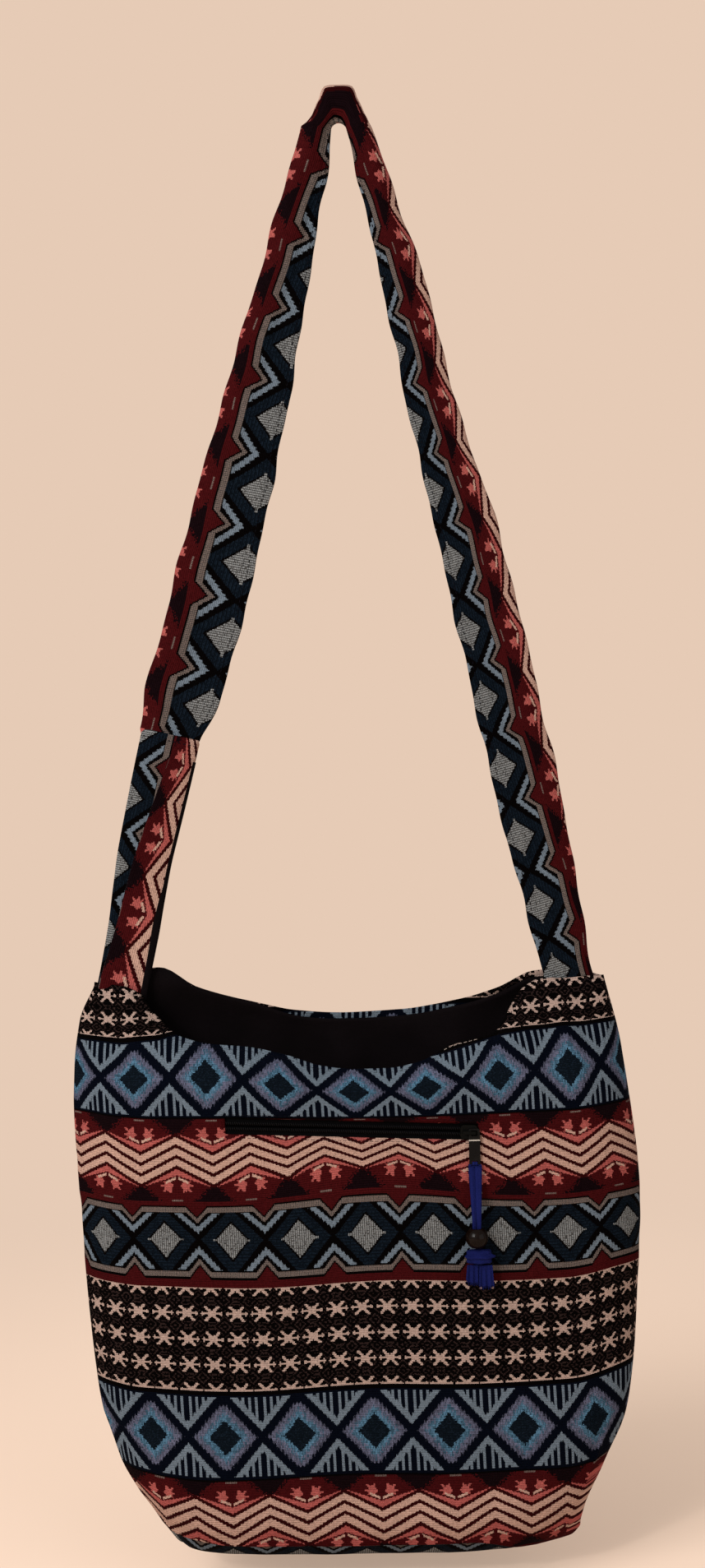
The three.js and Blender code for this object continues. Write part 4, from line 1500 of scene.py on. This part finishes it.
    def place(self, turn: Array) -> Array:
        """Share of the width at places round a ring: 0 at the inner edge, 1 at the outer edge."""
        c = -np.cos(np.pi * turn)
        return (np.sign(c) * np.abs(c) ** (2 / self.power) + 1) / 2

    def cloth_map(self, length: Array, inner: Array, outer: Array) -> Array:
        """Cloth coordinates round each ring: from the inner edge over the front to the outer edge, and back.

        Args:
            length: Place of each ring along the strap.
            inner: Cloth place of the inner edge of each ring.
            outer: Cloth place of the outer edge of each ring.

        Returns:
            Coordinates, rings by points and one for the seam.
        """
        turn = np.linspace(0, 2, self.sides + 1)
        place = self.place(turn)
        share = np.where(turn <= 1, place, 2 - place)
        across = self.teal_middle - inner[:, None] - (outer - inner)[:, None] * share
        return np.stack([np.broadcast_to(length[:, None], across.shape), across], -1)

    def strap(self) -> bpy.types.Object:
        """The strap itself; its turn over the bearing is drawn to a point between the gathered legs."""
        lean_left, length_left = self.leg(Leg.LEFT)[:2]
        lean_right, length_right = self.leg(Leg.RIGHT)[:2]
        stub_top = length_left - self.stub_length
        left = np.linspace(stub_top + self.sleeve_depth, 0, self.steps, endpoint=False)
        right = np.linspace(length_right + self.tuck, 0, self.steps, endpoint=False)[::-1]
        legs = []
        for which, distance, full, crease, end in (
            (Leg.LEFT, left, self.left_width, self.left_crease, stub_top - 2),
            (Leg.RIGHT, right, self.right_width, self.right_crease, length_right - 4),
        ):
            width, thick = self.sizes(which, distance)
            packed = self.gathered_width + (full - self.gathered_width) * smoothstep(distance, 0, self.spread)
            reach = packed + (width - packed) * smoothstep(distance, *self.settling)
            out = np.broadcast_to(self.leg(which)[4], (len(distance), 3))
            centre, roll = self.centres(which, distance), monotone(crease, distance)
            legs.append(self.rings(centre, out, distance * which.value, (reach, width, thick), roll))
            self.lines.append(legs[-1][distance < end, self.edge_side])
        angle = np.linspace(np.pi - lean_left, lean_right, self.turn_steps)
        out = np.stack([np.cos(angle), np.zeros_like(angle), np.sin(angle)], -1)
        centre = np.array([0, 0, -self.bearing]) + out * (self.bearing + self.gathered_width / 2)
        first, last = (-90, self.right_widths[0][1]), (90, self.left_widths[0][1])
        width = monotone((first, *self.arch_widths, last), np.degrees(angle) - 90)
        even = np.ones_like(angle)
        size = (even * self.gathered_width, width, even * self.gathered_thickness)
        roll = np.linspace(self.left_crease[0][1], self.right_crease[0][1], self.turn_steps)
        over = self.rings(centre, out, 0 * angle, size, roll)
        spans = (self.turn_cloth, self.turn_inner, self.turn_outer)
        run, inner, outer = (np.linspace(*span, self.turn_steps) for span in spans)
        run_left = self.turn_cloth[0] - self.cloth_share * left
        run_right = self.cloth_share * right + self.cloth_growth * right**2 + self.turn_cloth[1]
        cloth = [
            self.cloth_map(run_left, straight(self.left_inner, left), straight(self.left_outer, left)),
            self.cloth_map(run, inner, outer),
            self.cloth_map(run_right, straight(self.right_inner, right), straight(self.right_outer, right)),
        ]
        surface = tube(np.concatenate([legs[0], over, legs[1]]), np.concatenate(cloth))
        made = piece("strap_cloth", surface, self.finishes.banded)
        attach(made, "bag")
        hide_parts("strap")
        return made

    def stub_sizes(self, distance: Array) -> tuple[Array, Array]:
        """Width and thickness of the stub at distances down the left leg."""
        length = self.leg(Leg.LEFT)[1]
        narrow = smoothstep(distance, length - self.stub_length, length)
        width = self.stub_width + (self.ear_width - self.stub_width) * narrow
        return width, self.stub_thickness + (self.ear_thickness - self.stub_thickness) * narrow

    def dark_edge_strip(self) -> bpy.types.Object:
        """Dark strip of lining cotton along the stub's inner edge, broadest above the ear: partly the sleeve's
        dark lining, partly painted shade where the edge turns away.
        """
        length = self.leg(Leg.LEFT)[1]
        top = length - self.stub_length
        below_mouth, tucked = 14, 8
        distance = np.linspace(top + below_mouth, length + tucked, 84)[:, None]
        width, depth = self.stub_sizes(distance)
        shown = monotone(self.dark_edge_widths, distance - top)
        place = 1 - np.linspace(0, 1, 11) ** 2 * shown / width
        side = self.leg(Leg.LEFT)[4]
        grid = self.centres(Leg.LEFT, distance[:, 0])[:, None] + ((0.5 - place) * width)[..., None] * side
        grid = grid - (depth / 2 * self.crown(place))[..., None] * BACKWARDS
        out = normals(grid)
        out = out * -np.sign(out[:, [5], 1:2])
        cloth = np.stack([distance + 0 * place, place * width], -1)
        outer, inner = grid + 0.45 * out, grid + 0.05 * out
        made = piece("stub_dark_edge", shell(outer, inner, cloth), self.finishes.lining)
        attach(made, "bag")
        return made

    def stub(self) -> bpy.types.Object:
        """Sleeve on the left ear: in at its mouth over a hem, then down outside with one long fold.

        Each ring runs from the outer edge over the front to the fold, on to the inner edge, and back behind.
        """
        length = self.leg(Leg.LEFT)[1]
        top = length - self.stub_length
        rows, half, room = 14, 24, 0.6
        deep = np.linspace(top + self.sleeve_depth + 0.3, top + 0.6, rows)
        down = np.linspace(top + 0.6, length + self.tuck, 100)
        hem, hem_length = 1.4, 2.5
        rolled = hem * (1 - smoothstep(down, top, top + hem_length))
        wide, thick = (size - rolled for size in self.stub_sizes(down))
        lip, lip_thickness = (self.sleeve_width + self.stub_width) / 2, 7.0
        distance = np.concatenate([deep, [top - 0.2], down])[:, None]
        width = np.concatenate([np.full(rows, self.sleeve_width + room), [lip], wide])[:, None]
        depth = np.concatenate([np.full(rows, self.sleeve_thickness + room), [lip_thickness], thick])[:, None]
        start, fall, gap = 0.62, 0.59, 0.006
        fold = start - fall * np.clip((distance - top) / self.stub_length, 0, 1)
        ease = np.linspace(0, np.pi / 2, half)
        outer = fold * (1 - np.cos(ease))
        inner = fold + gap + (1 - gap - fold) * np.sin(ease)
        behind = (0.5 + 0.5 * np.cos(np.linspace(0, np.pi, 34)[1:-1])) * np.ones_like(fold)
        place = np.concatenate([outer, inner, behind], 1)
        column = np.arange(place.shape[1])
        front = column < 2 * half
        lap = (column >= half) & front
        crown = self.crown(place)
        lift, reach = 1.2, 8.0
        raised = lap * lift * np.exp(-(place - fold) * width / reach) * crown
        back = np.where(front, -1, 1) * depth / 2 * crown - raised * smoothstep(distance, top + 1, top + 25)
        centre = self.centres(Leg.LEFT, distance[:, 0])
        side, rear = (np.broadcast_to(way, centre.shape) for way in (self.leg(Leg.LEFT)[4], BACKWARDS))
        rings = around(centre, side, rear, (0.5 - place) * width, back)
        self.lines.append(rings[rows + 3, 4 : 2 * half - 4])
        shown = np.where(lap, 31.5 + 23.8 * (place - fold) / (1 - fold), 5 + 40.3 * place)
        end, start, stretch = 98, 706, 0.95
        shown = np.where(front, shown, end - 42.7 * place)
        shown = np.concatenate([shown, np.full_like(fold, end)], 1)
        cloth = np.stack([stretch * distance * np.ones_like(shown), start - shown], -1)
        made = piece("stub_cloth", tube(rings, cloth), self.finishes.banded)
        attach(made, "bag")
        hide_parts("strap_stub")
        # The dark strip on the stub's inner edge, partly painted shade.
        self.dark_edge_strip()
        return made


@dataclass
class Tassel:
    """Cotton strands, bead, knot and tails on the zip's pull."""

    finishes: Finishes
    bar: Place = (72.083, -39.604, -659.38)
    bead_at: Place = (72.083, -45.75, -703.68)
    knot_at: Place = (73.583, -44.75, -715.6)
    strand: float = 3.0
    spacing_top: float = 4.1
    spacing: float = 3.15
    loop_radius: float = 1.1
    loop_side: float = 0.85
    loop_width: float = 1.6
    loop_depth: float = 0.36
    front: float = -38.75
    bead_half: float = 6.12
    bead_travel: float = 8.0
    bead_radius: float = 7.0
    bore: float = 3.4
    knot_top: float = 5.65
    knot_half: Place = (9.5, 6.0, 5.5)
    tail_root: Place = (4.1, -0.55, -5.2)
    tail_lean: float = math.radians(1.5)
    tail_edges: Pair = (-4.2, 5.0)
    tail_length: float = 12.2
    tail_half: float = 0.5
    thread_lengths: Pair = (1.2, 2.6)
    thread_radius: float = 0.24

    def route(self, way: int) -> Array:
        """Middle line of one strand, from the tab's bar through the bead to the knot."""
        x, _, z = self.bar
        top, low = way * self.spacing_top / 2, way * self.spacing / 2
        back = self.front - self.strand / 2
        bead = self.bead_at
        knots = np.array(
            [
                (x + top, back, z - 1.3),
                (x + top, back, z - 4.3),
                (x + low, bead[1], bead[2] + self.bead_half + self.bead_travel + self.strand / 2),
                (x + low, bead[1], bead[2]),
                (x + low, bead[1], self.knot_at[2] + self.knot_top),
            ]
        )
        return smooth_path(knots, 40)

    def loop(self, way: int) -> Surface:
        """Flat loop of one strand round the tab's bar, with its ends inside the strand's top."""
        turn = np.linspace(0.08, 2 * np.pi - 0.08, 40)
        out = np.stack([0 * turn, np.sin(turn), -np.cos(turn)], -1)
        angle = circle(12)
        middle = np.array(self.bar) + way * self.loop_side * RIGHTWARDS + self.loop_radius * out
        side = np.broadcast_to(RIGHTWARDS, out.shape)
        wide, deep = self.loop_width / 2 * np.cos(angle), self.loop_depth / 2 * np.sin(angle)
        cloth = table(self.loop_radius * turn, np.linspace(0, 4, 13))
        return tube(around(middle, side, out, wide, deep)[::-1], cloth)

    def strands(self) -> None:
        """The two strands: folded strips with soft lobes, flat at the top and rounder inside the bead."""
        for way, name in ((-1, "left"), (1, "right")):
            path = self.route(way)
            _, across, back = frames_along(path)
            share = np.linspace(0, 1, len(path))
            angle = circle(24)
            lobes = 0.15 * np.cos(3 * angle + 1.6 * share[:, None] + way) + 0.05 * np.cos(2 * angle - way)
            radius = self.strand / 2 * (0.92 + lobes)
            wide = 0.86 + 0.6 * (1 - smoothstep(share, 0.2, 0.72))[:, None]
            deep = 0.35 + 0.65 * smoothstep(share, 0, 0.14)[:, None]
            rings = around(path, across, back, radius * wide * np.cos(angle), radius * deep * np.sin(angle))
            cloth = table(50 * share, np.linspace(0, 9.4, 25))
            surface = joined([tube(rings, cloth), self.loop(way)])
            made = piece(f"tassel_strand_{name}", surface, self.finishes.blue)
            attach(made, "tassel")
            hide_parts(f"tassel_cord_{name}")
            tuple(path[0] * MM)
            [tuple(p * MM) for p in path]

    def bead(self) -> bpy.types.Object:
        """Turned bead: a ball of revolution with a bore through it and eased edges."""
        ease, levels = 0.06, (5.7, 3.0, 0.0, -3.0, -5.7)
        turn = math.asin(self.bore / self.bead_radius) + ease
        arc = np.linspace(np.pi - turn, turn, 36)
        profile = np.stack([np.sin(arc), np.cos(arc)], -1) * self.bead_radius
        line = np.concatenate([profile, [(self.bore, level) for level in levels]])
        angle = circle(56)
        level = np.broadcast_to(line[:, 1:], (len(line), len(angle)))
        rings = np.stack([line[:, :1] * np.cos(angle), line[:, :1] * np.sin(angle), level], -1)
        points = (rings + np.array(self.bead_at)).reshape(-1, 3)
        quads = ring_quads(*rings.shape[:2]).reshape(-1, 4) % len(points)
        surface = Surface(points, quads, np.zeros((len(quads), 4, 2)))
        made = piece("tassel_wood_bead", surface, self.finishes.bead)
        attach(made, "bead")
        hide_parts("tassel_bead")
        return made

    def knot(self) -> bpy.types.Object:
        """Overhand knot: an egg with two level wraps and one that crosses them."""
        p, a = np.meshgrid(np.linspace(0.02, np.pi - 0.02, 60), circle(72), indexing="ij")
        level = np.cos(p)
        wraps = 0.07 * np.cos(level * 9.5 + 0.5 * np.sin(a)) + 0.05 * np.cos(5 * a + 6 * level) * np.sin(p)
        egg = np.stack([np.sin(p) * np.cos(a), np.sin(p) * np.sin(a), level], -1) * self.knot_half
        rings = egg * (0.93 + wraps)[..., None] + np.array(self.knot_at)
        cloth = table(np.linspace(0, 25, 60), np.linspace(0, 50, 73))
        made = piece("tassel_wrap", tube(rings, cloth), self.finishes.blue)
        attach(made, "tassel")
        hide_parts("tassel_knot")
        return made

    def tails(self) -> None:
        """Two frayed tails: a folded strip of cloth that ends in loose threads along an uneven edge."""
        for way, name in ((-1, "left"), (1, "right")):
            rng = np.random.default_rng(11 + way)
            root = np.array(self.knot_at) + np.array(self.tail_root) * (way, way, 1)
            lean = way * math.tan(self.tail_lean)
            across = np.linspace(*self.tail_edges, 28) * -way
            share = np.linspace(0, 1, 22)[:, None]
            short = 2.2 * (way < 0) * smoothstep(-across, 1.2, 4.2)
            fall = share * (self.tail_length + 0.9 * way - short + 0.4 * np.sin(across * 1.7))
            fold = 0.6 * np.sin(across * 1.9 + way) * (0.4 + fall / 16)
            base = root + np.stack([across * (0.86 + 0.16 * share) + lean * fall, fold, -fall], -1)
            thick = self.tail_half * BACKWARDS
            cloth = np.stack([fall, across + 0 * fall], -1)
            parts = [shell(base - thick, base + thick, cloth)]
            t, angle = np.linspace(0, 1, 8)[:, None], circle(6)
            size = self.thread_radius * (1 - 0.6 * t)
            run = table(np.linspace(0, 3, 8), np.linspace(0, 2, 7))
            for place in base[-1, 1:-1]:
                length = rng.uniform(*self.thread_lengths)
                tip = np.array([rng.uniform(-0.6, 0.6), rng.uniform(-0.5, 0.5), 0.0])
                line = place + np.array([0.0, 0.0, 0.4]) - t * np.array([0.0, 0.0, length]) + t**2 * tip
                _, side, back = frames_along(line)
                parts.append(tube(around(line, side, back, size * np.cos(angle), size * np.sin(angle)), run))
            made = piece(f"tassel_fray_{name}", joined(parts), self.finishes.blue)
            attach(made, "tassel")
            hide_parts(f"tassel_tail_{name}")


@dataclass
class Zip:
    """Coils, tapes, slider and tab of the front zip."""

    form: BagForm
    finishes: Finishes
    pitch: float = 1.35
    width: float = 2.3
    height: float = 1.7
    spacing: float = 1.1
    front: float = -37.2
    tab_spread: float = 1.2
    slot_half: float = 1.9
    slot_top: float = 3.6
    slot_closing: float = 1.2
    wire: float = 0.32
    end_gap: float = 0.4
    turn_steps: int = 14
    bevel: float = 0.22

    def coil(self, way: int) -> bpy.types.Object:
        """One coil: a wire wound as a flattened spiral along the zip."""
        form = self.form
        length = form.zip_length - 2 * self.end_gap
        turns = int(length / self.pitch)
        t = np.linspace(0, 1, turns * self.turn_steps)
        angle = 2 * np.pi * turns * t
        wire = self.wire
        x = (t - 0.5) * length
        y = self.front + self.height / 2 + (self.height / 2 - wire) * np.cos(angle)
        z = way * (self.spacing + self.width) / 2 + (self.width / 2 - wire) * np.sin(angle)
        path = np.stack([x, y, z], -1)
        along = unit(np.gradient(path, axis=0))
        side = unit(np.cross(along, RIGHTWARDS))
        spin = circle(6)
        rings = around(path, side, np.cross(side, along), wire * np.cos(spin), wire * np.sin(spin))
        cloth = table(x, np.linspace(0, 2, 7))
        name = "upper" if way > 0 else "lower"
        made = piece(f"zip_spiral_{name}", tube(self.slanted(rings), cloth), self.finishes.coil)
        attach(made, "bag")
        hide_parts(f"zip_coil_{name}")
        return made

    def slanted(self, points: Array) -> Array:
        """Points of the zip's own frame set at its slant and place."""
        form = self.form
        c, s = math.cos(form.zip_tilt), math.sin(form.zip_tilt)
        x, y, z = points[..., 0], points[..., 1], points[..., 2]
        return np.stack([c * x + s * z + form.zip_middle, y, -s * x + c * z - form.drop - form.zip_drop], -1)

    def tab(self) -> bpy.types.Object:
        """Pull tab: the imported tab's own form, a little wider, with a lower slot and eased edges."""
        low, high = (np.array(corner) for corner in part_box("pull_tab"))
        work = bmesh.new()
        work.from_mesh(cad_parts["pull_tab"].data)
        bmesh.ops.remove_doubles(work, verts=work.verts, dist=1e-6)
        bmesh.ops.dissolve_limit(work, angle_limit=math.radians(1), verts=work.verts, edges=work.edges)
        for vert in work.verts:
            inside = abs(vert.co.x - (low[0] + high[0]) / 2) < self.slot_half * MM
            if inside and abs(vert.co.z - low[2] - self.slot_top * MM) < 0.3 * MM:
                vert.co.z -= self.slot_closing * MM
        middle = Matrix.Translation(tuple(-(low + high) / 2))
        bmesh.ops.scale(work, vec=(self.tab_spread, 1.0, 1.0), space=middle, verts=work.verts)
        mesh = bpy.data.meshes.new("tab_plate")
        work.to_mesh(mesh)
        work.free()
        mesh.materials.append(self.finishes.tab)
        made = bpy.data.objects.new("tab_plate", mesh)
        bpy.context.scene.collection.objects.link(made)
        ease = made.modifiers.new("eased_edges", "BEVEL")
        ease.width, ease.segments, ease.limit_method = self.bevel * MM, 3, "ANGLE"
        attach(made, "tab")
        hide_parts("pull_tab")
        return made

    def dress(self) -> None:
        """Finishes the zip's own solids."""
        for node, material in (
            ("zip_tape_upper", self.finishes.tape),
            ("zip_tape_lower", self.finishes.tape),
            ("zip_slider", self.finishes.slider),
        ):
            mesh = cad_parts[node].data
            mesh.materials.clear()
            mesh.materials.append(material)


@dataclass
class Stitching:
    """Rows of short dark stitches along the hems and the strap, and a short row of pale threads at the front
    rim's edge.
    """

    body: Body
    strap: Strap
    finishes: Finishes
    length: float = 2.5
    gap: float = 0.8
    radius: float = 0.26
    hem: float = 2.2
    slot_row: float = 0.9
    pale_span: Pair = (54.0, 77.0)
    pale_depth: float = 0.35
    end_columns: int = 8

    def row(self, path: Array, out: Array) -> Array:
        """Middles of the stitches along a path, 5 points each, that rise out of the cloth and dip back in."""
        run = distances(path)
        starts = np.arange(self.gap, run[-1] - self.length, self.length + self.gap)
        share = np.linspace(0, 1, 5)
        at = starts[:, None] + share * self.length
        point = np.stack([np.interp(at, run, path[:, i]) for i in range(3)], -1)
        rise = np.stack([np.interp(at, run, out[:, i]) for i in range(3)], -1)
        return point + rise * (self.radius * (1.3 * np.sin(np.pi * share) - 0.5))[:, None]

    def sew(self, name: str, rows: Sequence[tuple[Array, Array]]) -> bpy.types.Object:
        """One piece of several rows of stitches."""
        middles = np.concatenate([self.row(*row) for row in rows])
        finish = self.finishes.pale_thread if name == "rim_threads" else self.finishes.thread
        made = piece(name, rods(middles, self.radius), finish)
        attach(made, "bag")
        return made

    def build(self) -> None:
        """Stitches of the rims, zip hems, strap edges and stub mouth, and the rim's pale threads."""
        body = self.body
        ends = slice(self.end_columns, -self.end_columns)
        rims = [body.line_at(side, body.rim_row(side, self.hem)) for side in Side]
        slot = slice(body.edge_columns + body.side_columns, -body.edge_columns - body.side_columns)
        upper = body.line_at(Side.FRONT, body.rim_row(Side.FRONT, self.hem, True))
        below = np.full(len(body.columns()), body.rim_rows + body.slot_rows + self.slot_row)
        lower = body.line_at(Side.FRONT, below)
        # Pale threads along the front rim's edge, over a short span across the bag.
        edge, edge_out = body.line_at(Side.FRONT, body.rim_row(Side.FRONT, self.pale_depth))
        pale_span = (edge[:, 0] > self.pale_span[0]) & (edge[:, 0] < self.pale_span[1])
        rows = {
            "rim_stitches": [(path[ends], out[ends]) for path, out in rims],
            "zip_stitches": [(path[slot], out[slot]) for path, out in (upper, lower)],
            "strap_stitches": [(line, np.broadcast_to(-BACKWARDS, line.shape)) for line in self.strap.lines],
            "rim_threads": [(edge[pale_span], edge_out[pale_span])],
        }
        for name, seams in rows.items():
            LOG.info("%s: %d faces", name, len(self.sew(name, seams).data.polygons))


@dataclass(frozen=True)
class Lamp:
    """Square soft lamp: its name, its place and side in metres, and its power in watts."""

    name: str
    place: Place
    size: float
    power: float


@dataclass
class Studio:
    """Camera, lamps, floor and background, in metres."""

    distance: float = 1.2
    middle: Pair = (0.0008, -0.423)
    roll: float = 0.0192
    view_height: float = 1.0037
    floor_level: float = -0.93
    background: Colour = linear("e6cbb6")
    light: Colour = (1.0, 0.97, 0.94, 1.0)
    light_strength: float = 0.55
    floor_half: float = 6.0
    floor_fade: Pair = (0.25, 1.1)
    aim: Place = (0.0, 0.0, -0.5)
    lamps: Sequence[Lamp] = (
        Lamp("key", (-1.5, -1.7, 0.6), 1.4, 53.0),
        Lamp("spark", (-1.0, -1.6, 0.2), 0.14, 8.0),
        Lamp("fill", (1.6, -1.5, -0.2), 1.8, 10.0),
        Lamp("back", (0.6, 1.8, 0.5), 1.6, 22.0),
    )

    def camera(self) -> None:
        """Camera at the photograph's place, level and rolled a little."""
        data = bpy.data.cameras.new("view")
        data.lens = data.sensor_width * self.distance / self.view_height
        data.clip_start, data.clip_end = 0.01, 50.0
        made = bpy.data.objects.new("view", data)
        bpy.context.scene.collection.objects.link(made)
        s, c = self.roll, math.sqrt(1 - self.roll**2)
        x, z = self.middle
        made.matrix_world = Matrix(
            ((c, s, 0.0, x), (0.0, 0.0, -1.0, -self.distance), (-s, c, 0.0, z), (0.0, 0.0, 0.0, 1.0))
        )
        bpy.context.scene.camera = made

    def shine(self, lamp: Lamp) -> None:
        """Sets up one lamp, turned to the aim."""
        data = bpy.data.lights.new(lamp.name, "AREA")
        data.size, data.energy = lamp.size, lamp.power
        made = bpy.data.objects.new(lamp.name, data)
        bpy.context.scene.collection.objects.link(made)
        back = unit(np.array(lamp.place) - np.array(self.aim))
        right = unit(np.cross((0.0, 0.0, 1.0), back))
        turn = np.eye(4)
        turn[:3] = np.stack([right, np.cross(back, right), back, lamp.place], -1)
        made.matrix_world = Matrix(turn.tolist())

    def world(self) -> None:
        """Soft white light all round, with the background colour for the camera alone."""
        world = bpy.data.worlds.new("studio")
        bpy.context.scene.world = world
        world.use_nodes = True
        nodes, links = world.node_tree.nodes, world.node_tree.links
        nodes.clear()
        ray = nodes.new("ShaderNodeLightPath")
        seen, light = nodes.new("ShaderNodeBackground"), nodes.new("ShaderNodeBackground")
        seen.inputs["Color"].default_value = self.background
        light.inputs["Color"].default_value = self.light
        light.inputs["Strength"].default_value = self.light_strength
        mix, out = nodes.new("ShaderNodeMixShader"), nodes.new("ShaderNodeOutputWorld")
        links.new(ray.outputs["Is Camera Ray"], mix.inputs[0])
        links.new(light.outputs[0], mix.inputs[1])
        links.new(seen.outputs[0], mix.inputs[2])
        links.new(mix.outputs[0], out.inputs["Surface"])

    def floor(self) -> None:
        """Pale floor under the bag, which passes into the background's colour further out."""
        line = np.linspace(-self.floor_half, self.floor_half, 49) / MM
        x, y = np.meshgrid(line, line, indexing="ij")
        top = np.stack([x, y, np.full_like(x, self.floor_level / MM)], -1)
        paint = Paint("floor_paint")
        place = paint.place()
        flat = paint.node("ShaderNodeVectorMath", {"operation": "MULTIPLY"}, {0: place, 1: (1.0, 1.0, 0.0)})
        away = paint.node("ShaderNodeVectorMath", {"operation": "LENGTH"}, {0: flat}, "Value")
        ramp = dict(zip(("From Min", "From Max"), self.floor_fade))
        far = paint.node("ShaderNodeMapRange", {"interpolation_type": "SMOOTHSTEP"}, {"Value": away, **ramp})
        ray = paint.node("ShaderNodeLightPath", None, None, "Is Camera Ray")
        near = paint.node("ShaderNodeBsdfDiffuse", None, {"Color": self.background})
        glow = paint.node("ShaderNodeEmission", None, {"Color": self.background})
        mixed = paint.node("ShaderNodeMixShader", None, {0: far * ray, 1: near, 2: glow})
        paint.node_output(mixed)
        below = top - np.array([0.0, 0.0, 5.0])
        made = piece("floor", shell(top, below, top[..., :2]), paint.material)

    def build(self) -> None:
        """Sets the whole stage."""
        bpy.context.scene.view_settings.view_transform = "Standard"
        self.camera()
        self.world()
        for lamp in self.lamps:
            self.shine(lamp)
        self.floor()


def main() -> None:
    """Builds the stage and every piece in order."""
    logging.basicConfig(level=logging.INFO, format="%(name)s: %(message)s")
    Studio().build()
    finishes = Finishes()
    form = BagForm()
    tassel = Tassel(finishes)
    tassel.strands()
    tassel.bead()
    tassel.knot()
    tassel.tails()
    body = Body(form, finishes)
    for side in Side:
        LOG.info("cloth %s: %d faces", side.name, len(body.panel(side).data.polygons))
        LOG.info("lining %s: %d faces", side.name, len(body.lining(side).data.polygons))
    LOG.info("pouch: %d faces", len(body.pouch().data.polygons))
    strap = Strap(form, finishes)
    LOG.info("strap: %d faces", len(strap.strap().data.polygons))
    LOG.info("stub: %d faces", len(strap.stub().data.polygons))
    zipper = Zip(form, finishes)
    for way in (-1, 1):
        LOG.info("coil: %d faces", len(zipper.coil(way).data.polygons))
    LOG.info("tab: %d faces", len(zipper.tab().data.polygons))
    zipper.dress()
    Stitching(body, strap, finishes).build()


if __name__ == "__main__":
    main()
